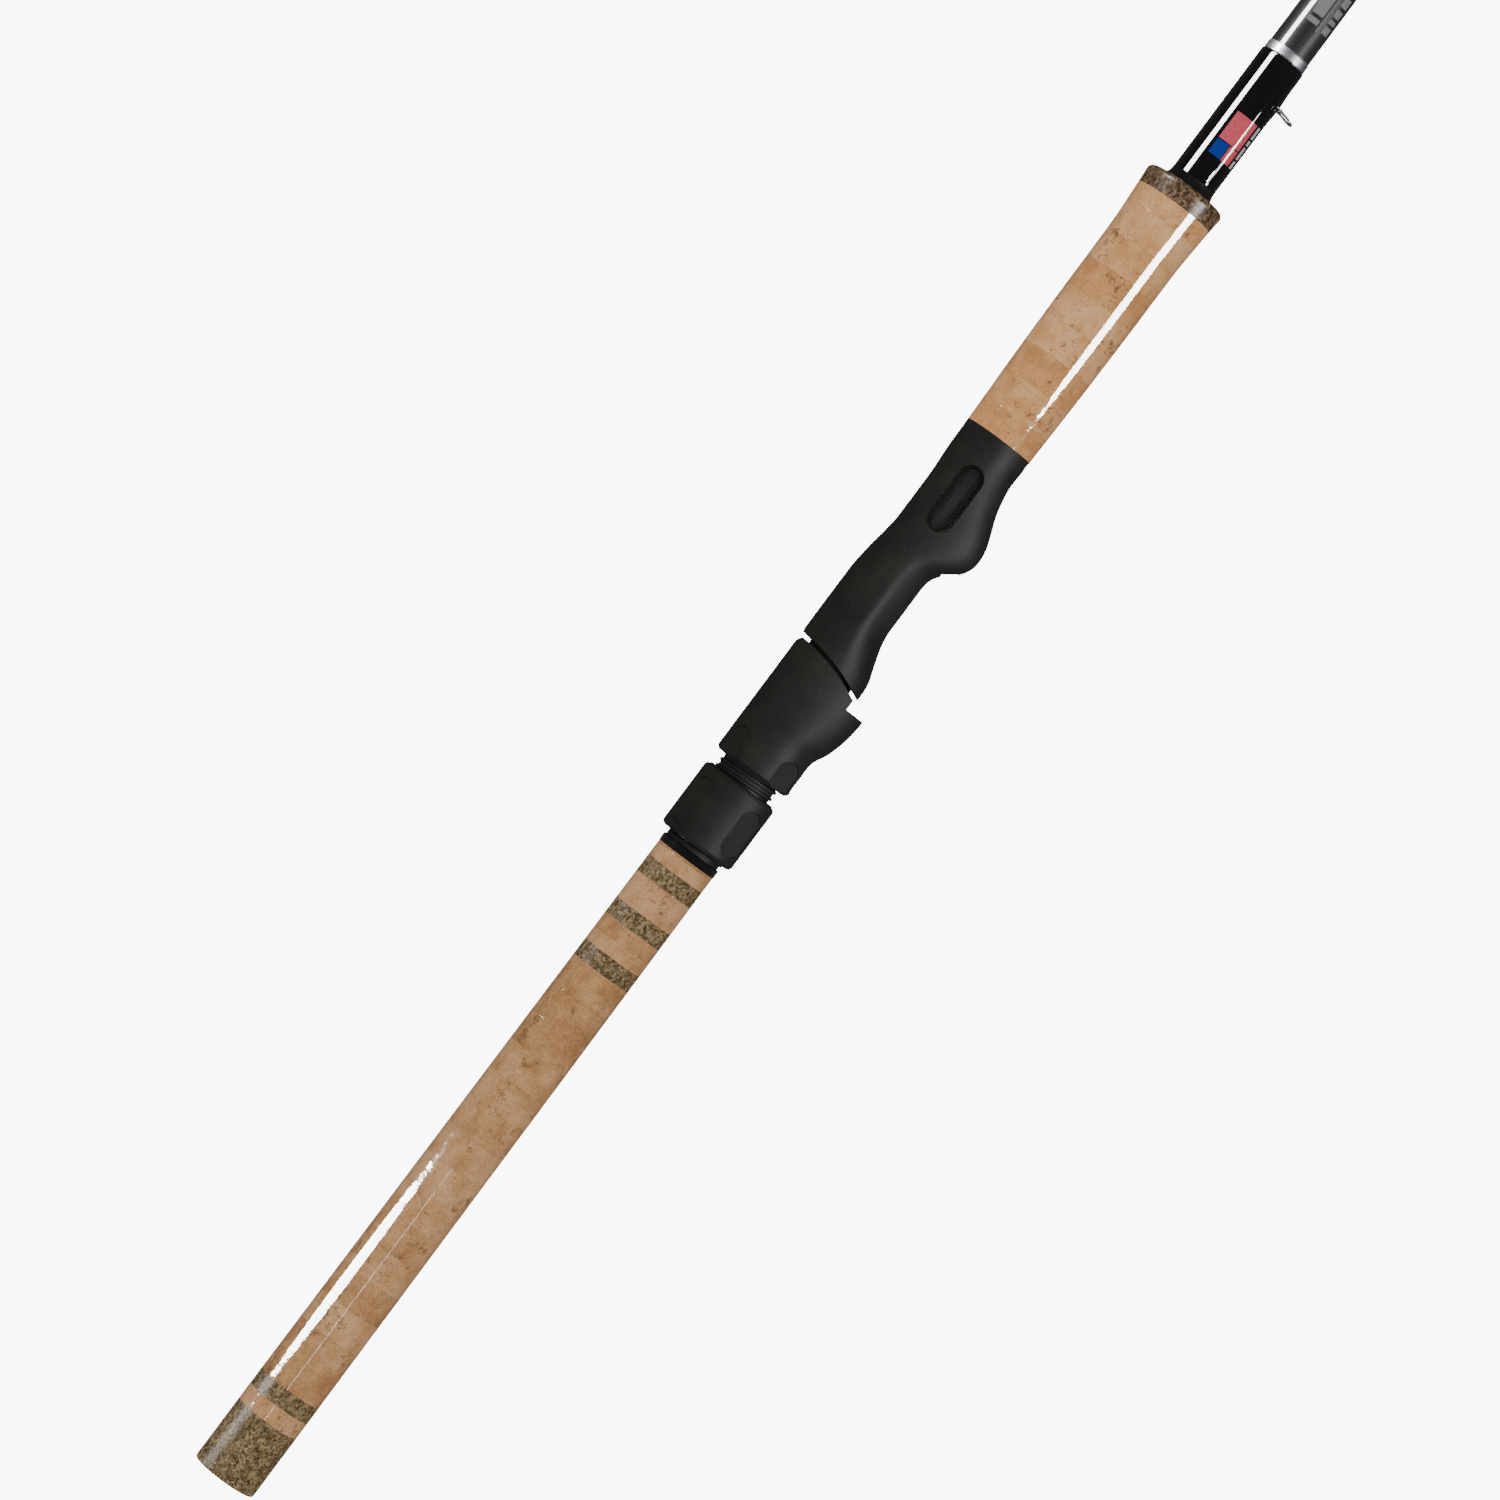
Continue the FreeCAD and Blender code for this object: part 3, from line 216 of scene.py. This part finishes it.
def varnished_cork(name, seam_start, deep, middle, pale):
    """Natural cork in glued rings, sanded and varnished: soft tan clouds and a shade of its own for
    each ring, brown blotches, dark slits round the ring, and a clear gloss that is a little wavy."""
    f = Finish(name, Roughness=0.6, Specular_IOR_Level=0.0, Coat_Weight=1.0, Coat_Roughness=0.05,
               Coat_IOR=1.5)
    along = f.node("SeparateXYZ", {0: f.mm})
    turns = f.node("Math", {0: f.node("Math", {0: along, 1: seam_start}, operation="SUBTRACT"),
                            1: CORK_RING},
                   operation="DIVIDE")
    index = f.node("Math", {0: turns}, operation="FLOOR")
    own, shade = f.node("TexWhiteNoise", {"W": index}, noise_dimensions="1D", out=(1, 0))
    place = f.node("VectorMath", {0: own, 1: (90, 90, 90), 2: f.mm}, operation="MULTIPLY_ADD")
    clouds = f.node("TexNoise", {"Vector": place, "Scale": 1 / 8, "Detail": 3.0, "Roughness": 0.6})
    grain = f.node("TexNoise", {"Vector": place, "Scale": 1 / 0.9, "Detail": 3.0, "Roughness": 0.7})
    tone = f.node("Math", {0: clouds, 1: 0.55, 2: f.node("Math", {0: grain, 1: 0.45}, operation="MULTIPLY")},
                  operation="MULTIPLY_ADD")
    tone = f.node("Math", {0: shade, 1: 0.14, 2: tone}, operation="MULTIPLY_ADD")
    colour = f.node("ValToRGB", {0: tone}, stops=((0.42, deep), (0.56, middle), (0.70, pale)))
    # brown blotches 1 to 4 mm across, in some places only
    blotch = f.node("TexNoise", {"Vector": place, "Scale": 1 / 3.2, "Detail": 4.0, "Roughness": 0.75})
    region = f.node("TexNoise", {"Vector": place, "Scale": 1 / 13, "Detail": 1.0})
    spread = f.node("Math", {0: region, 1: 0.5, 2: blotch}, operation="MULTIPLY_ADD")
    stain = f.node("MapRange", {"Value": spread, "From Min": 0.84, "From Max": 0.96, "To Max": 0.85})
    colour = f.node("Mix", {0: stain, 6: colour, 7: linear("#7A5A3F")}, out=2, data_type="RGBA")
    # slits about 0.6 mm wide and 2.5 mm long round the ring
    drawn_out = f.node("VectorMath", {0: place, 1: (1.5, 0.4, 0.4)}, operation="MULTIPLY")
    slits = f.node("TexNoise", {"Vector": drawn_out, "Scale": 1 / 0.9, "Detail": 2.0, "Roughness": 0.6})
    slits = f.node("Math", {0: region, 1: 0.25, 2: slits}, operation="MULTIPLY_ADD")
    pits = f.node("MapRange", {"Value": slits, "From Min": 0.80, "From Max": 0.86, "To Max": 0.8})
    colour = f.node("Mix", {0: pits, 6: colour, 7: linear("#55402E")}, out=2, data_type="RGBA")
    # the glue line, drawn 0.3 mm wide
    near = f.node("Math", {0: f.node("Math", {0: turns}, operation="FRACT"), 1: 0.5}, operation="SUBTRACT")
    near = f.node("Math", {0: near}, operation="ABSOLUTE")
    seam = f.node("MapRange", {"Value": near, "From Min": 0.486, "From Max": 0.5, "To Max": 0.35})
    colour = f.node("Mix", {0: seam, 6: colour, 7: linear("#6E5036")}, out=2, data_type="RGBA")
    f.wear("Base Color", colour)
    f.relief(f.node("Math", {0: grain, 1: pits}, operation="SUBTRACT"), 0.05)
    wave = f.node("TexNoise", {"Vector": place, "Scale": 1 / 6, "Detail": 3.0, "Roughness": 0.5})
    f.relief(wave, 0.06, coat=True)
    return f.material


def burl_cork(name, stops, gloss):
    """Burl cork: granules of bark and cork of 0.5 to 1.5 mm pressed together, sanded and varnished: speckled
    grey-brown with near-black and tan grains. gloss is how much of its varnish is left, a soft one."""
    f = Finish(name, Roughness=0.65, Specular_IOR_Level=0.0, Coat_Weight=gloss, Coat_Roughness=0.28,
               Coat_IOR=1.5)
    sway = f.node("TexNoise", {"Vector": f.mm, "Scale": 0.8, "Detail": 2.0}, out=1)
    bent = f.node("VectorMath", {0: sway, 1: (1.6, 1.6, 1.6), 2: f.mm}, operation="MULTIPLY_ADD")
    coarse = f.node("TexVoronoi", {"Vector": bent, "Scale": 1 / 1.0}, out=1)
    fine = f.node("TexVoronoi", {"Vector": bent, "Scale": 1 / 0.45}, out=1)
    coarse = f.node("SeparateColor", {0: coarse})
    fine = f.node("SeparateColor", {0: fine})
    tone = f.node("Math", {0: coarse, 1: 0.6, 2: f.node("Math", {0: fine, 1: 0.4}, operation="MULTIPLY")},
                  operation="MULTIPLY_ADD")
    drift = f.node("TexNoise", {"Vector": f.mm, "Scale": 1 / 6, "Detail": 2.0})
    tone = f.node("Math", {0: drift, 1: 0.35, 2: tone}, operation="MULTIPLY_ADD")
    f.wear("Base Color", f.node("ValToRGB", {0: tone}, stops=stops))
    f.relief(fine, 0.05)
    f.relief(f.node("TexNoise", {"Vector": f.mm, "Scale": 1 / 3, "Detail": 3.0}), 0.04, coat=True)
    return f.material


def matt_nylon():
    """Glass-filled nylon moulded in a spark-textured tool, with a soft matt coat: warm black, no sharp
    reflections, slightly greyer where it is handled, and a grain that is drawn 0.5 mm coarse so it shows."""
    f = Finish("matt_nylon", IOR=1.53)
    worn = f.node("TexNoise", {"Vector": f.mm, "Scale": 1 / 20, "Detail": 3.0, "Roughness": 0.55})
    speck = f.node("TexNoise", {"Vector": f.mm, "Scale": 1 / 0.5, "Detail": 2.0})
    tone = f.node("Math", {0: speck, 1: 0.4, 2: f.node("Math", {0: worn, 1: 0.6}, operation="MULTIPLY")},
                  operation="MULTIPLY_ADD")
    f.wear("Base Color", f.node("ValToRGB", {0: tone}, stops=((0.35, "#171814"), (0.65, "#272822"))))
    f.wear("Roughness", f.node("MapRange", {"Value": worn, "From Min": 0.3, "From Max": 0.7, "To Min": 0.50,
                                            "To Max": 0.60}))
    f.relief(speck, 0.03)
    return f.material


def polished_abs():
    """Polished black ABS: deep black with sharp reflections and faint sink marks."""
    f = Finish("polished_abs", Roughness=0.1, Coat_Weight=0.5, Coat_Roughness=0.04)
    f.wear("Base Color", f.node("ValToRGB", {0: f.node("TexNoise", {"Vector": f.mm, "Scale": 1 / 8})},
                                stops=((0.3, "#070708"), (0.7, "#101012"))))
    f.relief(f.node("TexNoise", {"Vector": f.mm, "Scale": 1 / 4}), 0.015)
    return f.material


def epoxied_thread(name, dark, light, metallic, spacing):
    """Thread wound side by side and levelled with epoxy: fine lines round the blank under a thick clear gloss
    that is a little wavy. The thread is 0.2 mm thick and is drawn at twice that or more, so it shows."""
    f = Finish(name, Roughness=0.4, Specular_IOR_Level=0.0, Metallic=metallic, Coat_Weight=1.0,
               Coat_Roughness=0.02, Coat_IOR=1.55)
    along = f.node("SeparateXYZ", {0: f.mm})
    wave = f.node("Math", {0: along, 1: spacing / 2}, operation="PINGPONG")
    level = f.node("Math", {0: wave, 1: 2 / spacing}, operation="MULTIPLY")
    laid = f.node("VectorMath", {0: f.mm, 1: (1, 0.2, 0.2)}, operation="MULTIPLY")
    uneven = f.node("TexNoise", {"Vector": laid, "Scale": 1 / 1.1, "Detail": 2.0, "Roughness": 0.6})
    tone = f.node("Math", {0: level, 1: 0.55, 2: f.node("Math", {0: uneven, 1: 0.45}, operation="MULTIPLY")},
                  operation="MULTIPLY_ADD")
    f.wear("Base Color", f.node("ValToRGB", {0: tone}, stops=((0.2, dark), (0.8, light))))
    f.relief(level, 0.02)
    f.relief(f.node("TexNoise", {"Vector": f.mm, "Scale": 1 / 7, "Detail": 1.0}), 0.02, coat=True)
    return f.material


def coated_carbon():
    """Carbon fibre sheet rolled on a mandrel, ground and clear-coated: charcoal with fine fibres along the
    rod, faint marks 4 mm apart from the winding tape, and a hard gloss."""
    f = Finish("coated_carbon", Roughness=0.4, Specular_IOR_Level=0.1, Coat_Weight=1.0,
               Coat_Roughness=0.03, Coat_IOR=1.5)
    drawn_out = f.node("VectorMath", {0: f.mm, 1: (0.03, 1, 1)}, operation="MULTIPLY")
    fibres = f.node("TexNoise", {"Vector": drawn_out, "Scale": 1 / 0.5, "Detail": 3.0, "Roughness": 0.65})
    x, y, z = f.node("SeparateXYZ", {0: f.mm}, out=(0, 1, 2))
    turn = f.node("Math", {0: f.node("Math", {0: z, 1: y}, operation="ARCTAN2"), 1: 2 * math.pi},
                  operation="DIVIDE")
    tape = f.node("Math", {0: f.node("Math", {0: x, 1: 1 / 4.2, 2: turn}, operation="MULTIPLY_ADD"), 1: 0.5},
                  operation="PINGPONG")
    ridge = f.node("MapRange", {"Value": tape, "From Max": 0.07, "To Min": 1.0, "To Max": 0.0})
    tone = f.node("Math", {0: ridge, 1: -0.05, 2: fibres}, operation="MULTIPLY_ADD")
    f.wear("Base Color", f.node("ValToRGB", {0: tone},
                                stops=((0.3, "#1A1A1A"), (0.5, "#252524"), (0.7, "#32312F"))))
    f.relief(ridge, 0.02)
    f.relief(f.node("TexNoise", {"Vector": f.mm, "Scale": 1 / 9}), 0.01, coat=True)
    return f.material


def polished_stainless():
    """Stainless wire, drawn, bent and tumbled: a soft bright grey with faint draw lines and dull patches. A
    little of its colour is plain so that thin wire stays grey beside a bright background."""
    f = Finish("polished_stainless", Metallic=0.85)
    drawn_out = f.node("VectorMath", {0: f.mm, 1: (0.2, 1, 1)}, operation="MULTIPLY")
    lines = f.node("TexNoise", {"Vector": drawn_out, "Scale": 1 / 0.4, "Detail": 2.0})
    f.wear("Base Color", f.node("ValToRGB", {0: lines}, stops=((0.3, "#8E8C89"), (0.7, "#B4B2AF"))))
    dull = f.node("TexNoise", {"Vector": f.mm, "Scale": 1 / 3})
    f.wear("Roughness", f.node("MapRange", {"Value": dull, "From Min": 0.3, "From Max": 0.7, "To Min": 0.22,
                                            "To Max": 0.36}))
    f.relief(lines, 0.004)
    return f.material


def plain_stuff(name, dark, light, grain, depth, **plain):
    """Anything of one stuff throughout: two close shades in a fine grain, with a slight relief."""
    f = Finish(name, **plain)
    cloud = f.node("TexNoise", {"Vector": f.mm, "Scale": 1 / (6 * grain), "Detail": 4.0, "Roughness": 0.6})
    f.wear("Base Color", f.node("ValToRGB", {0: cloud}, stops=((0.35, dark), (0.65, light))))
    f.relief(f.node("TexNoise", {"Vector": f.mm, "Scale": 1 / grain, "Detail": 2.0}), depth)
    return f.material


REAR_CORK = varnished_cork("varnished_cork_rear", REAR_GRIP_SEAM, "#9A6F48", "#B7885C", "#C89E74")
FORE_CORK = varnished_cork("varnished_cork_fore", FOREGRIP_SEAM, "#BA8350", "#D19762", "#DEAE7D")
BURL = burl_cork("burl_cork", ((0.30, "#3D3122"), (0.50, "#5D4D36"), (0.66, "#6C5A41"), (0.80, "#7C694C"),
                               (0.98, "#9C8662")), 0.12)
BURL_DARK = burl_cork("burl_cork_dark", ((0.30, "#2D1F16"), (0.50, "#4C3A2A"), (0.66, "#5C4835"),
                                         (0.80, "#6C5741"), (0.98, "#8E765A")), 0.2)
SEAT = matt_nylon()
TRIM = polished_abs()
BLACK_WRAP = epoxied_thread("epoxied_black_thread", "#050608", "#0F1114", 0.0, 0.45)
SILVER_WRAP = epoxied_thread("epoxied_silver_thread", "#56575A", "#848588", 0.8, 0.6)
CARBON = coated_carbon()
STEEL = polished_stainless()
# lapped guide ring ceramic is dark and glassy; acetal is waxy black; the pad is dull rubber and the arbors
# are sawn rigid foam; ink on film lies under the wrap's clear gloss
CERAMIC = plain_stuff("lapped_ceramic", "#191B1F", "#25282D", 0.3, 0.002, Roughness=0.08, IOR=1.75)
ACETAL = plain_stuff("moulded_acetal", "#101011", "#1A1A1B", 0.5, 0.02, Roughness=0.35, IOR=1.48)
PAD = plain_stuff("rubber_pad", "#191918", "#262624", 0.5, 0.04, Roughness=0.8)
FOAM = plain_stuff("rigid_foam", "#87754F", "#AB9970", 0.6, 0.2, Roughness=0.9)
GLOSS = dict(Roughness=0.4, Specular_IOR_Level=0.0, Coat_Weight=1.0, Coat_Roughness=0.02, Coat_IOR=1.55)
RED_INK = plain_stuff("red_ink_film", "#C44B58", "#CE5965", 0.2, 0.01, **GLOSS)
BLUE_INK = plain_stuff("blue_ink_film", "#0E2F88", "#123692", 0.2, 0.01, **GLOSS)
PALE_INK = plain_stuff("pale_ink_film", "#ABABAA", "#B9B9B7", 0.2, 0.01, **GLOSS)
SILVER_INK = plain_stuff("silver_ink_film", "#787979", "#868685", 0.2, 0.01, **GLOSS)

FINISHES = {
    "butt_cap": BURL, "butt_cork_ring": REAR_CORK, "butt_burl_ring": BURL, "rear_grip_cork": REAR_CORK,
    "rear_burl_rings": BURL, "rear_cork_spacers": REAR_CORK, "foregrip_cork": FORE_CORK,
    "foregrip_burl_ring": BURL_DARK, "rear_trim_ring": TRIM, "seat_body": SEAT, "seat_hood": SEAT,
    "lock_nut": SEAT, "nut_washer": ACETAL, "hood_liner": PAD, "seat_arbors": FOAM, "keeper_foot": STEEL,
    "keeper_loop": STEEL, "tip_top_frame": STEEL, "tip_top_ring": CERAMIC}
for number in range(1, len(GUIDES) + 1):
    FINISHES[f"guide_{number}_frame"] = STEEL
    FINISHES[f"guide_{number}_ring"] = CERAMIC
for node, material in FINISHES.items():
    shown = NODES[node]
    shown.data.materials.clear()
    shown.data.materials.append(material)

# ---- blank ----------------------------------------------------------------------------------------
x = np.concatenate([[9.0], np.linspace(9.6, SECTION - 0.6, 90), [SECTION]])
outer = butt_radius(x) - np.where((x == x[0]) | (x == x[-1]), 0.4, 0.0)
turned("blank_butt", list(zip(x, outer)) + list(zip(x[::-1], butt_radius(x[::-1]) - 1.3)), CARBON,
       "butt_section", ["butt_blank"])

x = np.concatenate([[TIP_START], np.linspace(TIP_START + 0.4, FERRULE_END + 70, 40),
                    np.linspace(FERRULE_END + 80, TIP_END, 70)])
inner = np.interp(x, (TIP_START, SECTION, FERRULE_END, FERRULE_END + 60, TIP_END),
                  (FERRULE - 0.9, 6.25, 6.25, 5.1, 0.45))
outer = tip_radius(x) - np.where(x == TIP_START, 0.25, 0.0)
turned("blank_tip", list(zip(x, outer)) + list(zip(x[::-1], inner[::-1])), CARBON, "tip_section",
       ["tip_blank"])


# ---- thread wraps and their clear finish ----------------------------------------------------------
def sleeve(name, x0, x1, rise, under, body, material=BLACK_WRAP, stands_for=(), around=96,
           lump=None):
    """A sleeve on the blank from x0 to x1. Its outside is the blank's radius plus rise(s), with s from 0 to 1
    along it, plus lump(x, angle below the keel line) where given; its inside is the blank's radius."""
    s = (1 - np.cos(np.linspace(0, np.pi, 34))) / 2
    x = x0 + s * (x1 - x0)
    angle = np.linspace(0, 2 * np.pi, around, endpoint=False)
    outer = np.repeat((under(x) + rise(s))[:, None], around, 1)
    if lump is not None:
        outer = np.maximum(outer, lump(x[:, None], np.abs((angle + np.pi / 2 + np.pi) % (2 * np.pi) - np.pi)))
    inner = np.repeat(under(x[::-1])[:, None], around, 1)
    grid = np.concatenate([rows_about_x(x, outer, around), rows_about_x(x[::-1], inner, around)])
    return skin(name, grid, material, body, stands_for, sharp=50)


def levelled(height, run):
    """Rise of a wrap that swells from a thin edge to its full height within run (a share of its length)."""
    return lambda s: 0.04 + (height - 0.04) * eased(np.minimum(s, 1 - s) / run)


def over_foot(near, far, half_width, thick, under):
    """Outside radius over a guide's foot: the foot's height tapers from thick at near to 0.25 at far, and
    its sides run down to the blank in 0.35 radians."""
    def radius(x, angle):
        share = np.clip((x - near) / (far - near), 0, 1)
        top = thick + (0.25 - thick) * share + 0.2
        side = half_width / under(x)
        return under(x) + top * (1 - eased((angle - side * 1.15) / 0.35)) * eased((1 - share) / 0.12)
    return radius


# black wrap ahead of the foregrip: a hollow cone off the check, then level, with a swelling at the keeper
x = np.concatenate([GRIP_FACE + np.linspace(0, 1, 12) * 4.2, np.linspace(CHECK_END + 0.5, WRAP_END - 0.9, 50),
                    WRAP_END - 0.9 + 0.9 * np.sin(np.linspace(0.1, 1, 7) * np.pi / 2)])
cone = np.clip((x - GRIP_FACE) / 5.0, 0, 1)
radius = WRAP_RADIUS + 1.2 * (1 - cone) ** 2.2
radius = radius - np.where(x > WRAP_END - 0.9, 0.33 * ((x - WRAP_END + 0.9) / 0.9) ** 2, 0)
angle = np.linspace(0, 2 * np.pi, 128, endpoint=False)
below = np.abs((angle + np.pi / 2 + np.pi) % (2 * np.pi) - np.pi)
bead = 0.4 * np.exp(-((x[:, None] - KEEPER_X) / 4.6) ** 2) * np.exp(-(below / 0.26) ** 2)
first = int(np.searchsorted(x, CHECK_END - 1e-6))
grid = np.concatenate([rows_about_x(x[first:], radius[first:, None] + bead[first:], 128),
                       rows_about_x(x[first:][::-1], butt_radius(x[first:][::-1]), 128)])
skin("wrap_handle", grid, BLACK_WRAP, "butt_section", ["handle_wrap"], sharp=50)
check = [(GRIP_FACE, 9.2), (GRIP_FACE, 10.1), (GRIP_FACE + 0.15, 10.3)]
check += [(a, b) for a, b in zip(x[1:first + 1], radius[1:first + 1])] + [(CHECK_END, 8.75)]
turned("check_winding", check, ACETAL, "butt_section", ["winding_check"], 128)
sleeve("wrap_silver", WRAP_END, WRAP_END + SILVER_BAND, levelled(0.27, 0.14), butt_radius, "butt_section",
       SILVER_WRAP, ["silver_wrap"], 128)
sleeve("wrap_ferrule", TIP_START, TIP_START + 34, levelled(0.45, 0.08), tip_radius, "tip_section",
       stands_for=["ferrule_wrap"])
tube_start = TIP_END - 12
sleeve("wrap_tip", tube_start - 14, tube_start, levelled(0.42, 0.15), tip_radius, "tip_section",
       stands_for=["tip_wrap"], around=48)

for number, (size, from_tip) in enumerate(GUIDES, 1):
    ring_x = ROD_LENGTH - from_tip
    wire = 0.45 + 0.017 * size
    thick = 0.35 + 0.02 * size
    foot = 8.0 + 0.42 * size
    body = "butt_section" if ring_x < TIP_START else "tip_section"
    for label, start, way in (("rear", ring_x - 0.10 * size, -1), ("front", ring_x + 0.72 * size, 1)):
        near, far = start - way * 0.5, start + way * (foot + 3.5)
        sleeve(f"wrap_{number}_{label}", near, far, levelled(0.42, 0.12), blank_radius, body, around=72,
               stands_for=[f"guide_{number}_wraps"],
               lump=over_foot(start - way, start + way * foot, wire * 1.7, thick, blank_radius))


# ---- print ----------------------------------------------------------------------------------------
def patch(name, x0, x1, low, high, radius, material, stands_for=()):
    """A thin film on a round: x0 to x1 along it, and from low to high degrees below the horizontal on the
    -Y side. Its corners are square and its edge is 0.02 mm high."""
    s = np.linspace(x0, x1, 12)
    around = np.radians(180 + np.linspace(low, high, 20))
    rise = np.repeat((0.02, 0.0), 20)
    around = np.concatenate([around, around[::-1]])
    r = radius(s)[:, None] + rise
    grid = np.stack([np.repeat(s[:, None], 40, 1), r * np.cos(around), r * np.sin(around)], -1)
    return skin(name, grid, material, "butt_section", stands_for, closed=(False, True), sharp=30)


def on_wrap(x):
    return np.full_like(x, WRAP_RADIUS + 0.01)


def on_blank(x):
    return butt_radius(x) + 0.004


# plain blocks of colour with a row of pale bars below, under the wrap's clear finish
label_x = GRIP_FACE + 14.8
patch("label_red", label_x + 6.6, label_x + 18.3, -14, 48, on_wrap, RED_INK, ["label"])
patch("label_blue", label_x, label_x + 6.2, -14, 19, on_wrap, BLUE_INK)
patch("label_red_foot", label_x, label_x + 6.2, 21, 48, on_wrap, RED_INK)
for k, (a, b) in enumerate(((0.0, 3.2), (4.0, 9.4), (10.2, 12.4), (13.2, 18.3))):
    patch(f"label_bar_{k}", label_x + a, label_x + b, 55, 66, on_wrap, PALE_INK)
# bars for the blank's print: start and end along X, and degrees below the horizontal
plain_x = WRAP_END + SILVER_BAND + 10.6
bars = [(1.8, 4.0, -17, 15), (5.4, 62, -17, 15), (0, 66, 21, 24)]
small = ((1, 4.2), (5.4, 7.2), (8.4, 11.6), (13, 17), (18.2, 26), (28, 31), (32.5, 43))
bars += [(a, b, 35, 60) for a, b in small]
for k, (a, b, low, high) in enumerate(bars):
    patch(f"print_bar_{k}", plain_x + a, plain_x + b, low, high, on_blank, SILVER_INK)

# ---- floor, light and camera ----------------------------------------------------------------------
FLOOR_GLOW, ROOM_LIGHT, ROOM_GLOSS = 9.0, 0.8, 0.10
low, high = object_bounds()
floor = bpy.data.meshes.new("floor")
floor.from_pydata([(sx * 9 + 1.1, sy * 9, low.z) for sx, sy in ((-1, -1), (1, -1), (1, 1), (-1, 1))], [],
                  [(0, 1, 2, 3)])
# the floor is a plain white light table: it gives the rod no shade, and lamps may stand lower than it
floor_material = bpy.data.materials.new("pale_floor")
floor_material.use_nodes = True
tree = floor_material.node_tree
tree.nodes.clear()
add(tree, "OutputMaterial", {0: add(tree, "Emission", {0: (1, 1, 1, 1), 1: FLOOR_GLOW})})
floor.materials.append(floor_material)
floor_object = bpy.data.objects.new("floor", floor)
bpy.context.scene.collection.objects.link(floor_object)
floor_object.visible_diffuse = floor_object.visible_glossy = floor_object.visible_shadow = False

# a soft even room: as bright as the floor to the camera, dim in reflections so that the gloss shows the lamps
world = bpy.data.worlds.new("studio")
world.use_nodes = True
tree = world.node_tree
tree.nodes.clear()
camera_ray, glossy_ray = add(tree, "LightPath", out=(0, 3))
room = add(tree, "Background", {0: (1, 1, 1, 1), 1: ROOM_LIGHT})
mirror = add(tree, "Background", {0: (1, 1, 1, 1), 1: ROOM_GLOSS})
sweep = add(tree, "Background", {0: (1, 1, 1, 1), 1: FLOOR_GLOW})
shown = add(tree, "MixShader", {0: glossy_ray, 1: room, 2: mirror})
add(tree, "OutputWorld", {0: add(tree, "MixShader", {0: camera_ray, 1: shown, 2: sweep})})
bpy.context.scene.world = world


# only what is clear-coated, polished or metal takes the lamps that draw streaks
shiny, matt = bpy.data.collections.new("shiny"), bpy.data.collections.new("matt")
for piece in list(bpy.context.scene.objects):
    if piece.type == "MESH" and piece is not floor_object:
        (matt if piece.data.materials[0] in (SEAT, ACETAL, PAD, FOAM) else shiny).objects.link(piece)


def softbox(name, place, aim, size, glow, shape="RECTANGLE", only=None):
    """An area light, size (along X, across) in metres, turned to face a point and glow times as bright as
    white. With a collection given it shows in the gloss of those pieces and lights nothing else; without
    one it lights everything and shows in no gloss."""
    light = bpy.data.lights.new(name, "AREA")
    light.shape, light.size, light.size_y = shape, size[0], size[1]
    light.energy = glow * math.pi * size[0] * size[1] * (math.pi / 4 if shape == "ELLIPSE" else 1)
    lamp = bpy.data.objects.new(name, light)
    away = (Vector(place) - Vector(aim)).normalized()
    side = away.cross(Vector((1, 0, 0))).normalized()
    turn = Matrix((side.cross(away), side, away)).transposed()
    lamp.matrix_world = Matrix.Translation(place) @ turn.to_4x4()
    lamp.visible_camera = False
    lamp.visible_glossy, lamp.visible_diffuse = only is not None, only is None
    if only is not None:
        lamp.light_linking.receiver_collection = only
    bpy.context.scene.collection.objects.link(lamp)


# each streak lamp stands where the varnish mirrors it: its end along X sets where the streak ends
softbox("over_butt", (-0.010, -0.26, 0.97), (-0.010, 0, 0), (0.135, 0.72), 170, "ELLIPSE", shiny)
softbox("over_blank", (1.14, -0.515, 0.857), (1.14, 0, 0), (0.88, 0.40), 110, only=shiny)
softbox("low_front", (0.615, -0.59, -0.81), (0.615, 0, 0), (0.20, 0.40), 150, "ELLIPSE", shiny)
softbox("thin_front", (-0.10, -1.49, 0.13), (-0.10, 0, 0), (0.24, 0.05), 16, only=shiny)
softbox("low_blank", (0.731, -0.47, -0.88), (0.731, 0, 0), (0.040, 0.19), 50, "ELLIPSE", shiny)
softbox("low_seat", (0.50, -0.64, -0.77), (0.47, 0, 0), (0.34, 0.5), 8, only=matt)
softbox("front", (0.4, -2.7, 0.5), (0.35, 0, 0), (3.4, 2.4), 1.4)

# side on to the handle and rolled so that the rod runs up to the right; metres
DISTANCE, VIEW_WIDTH, ROLL = 2.3, 0.547545, math.radians(53.2)
MIDDLE = Vector((0.3274, 0, 0.0051))
camera_data = bpy.data.cameras.new("camera")
camera_data.sensor_width = 36
camera_data.lens = camera_data.sensor_width * DISTANCE / VIEW_WIDTH
camera_data.clip_start, camera_data.clip_end = 0.05, 100
camera = bpy.data.objects.new("camera", camera_data)
right = Vector((math.cos(ROLL), 0, -math.sin(ROLL)))
up = Vector((math.sin(ROLL), 0, math.cos(ROLL)))
camera.matrix_world = Matrix.Translation(MIDDLE - Vector((0, DISTANCE, 0))) @ Matrix(
    (right, up, Vector((0, -1, 0)))).transposed().to_4x4()
bpy.context.scene.collection.objects.link(camera)
bpy.context.scene.camera = camera
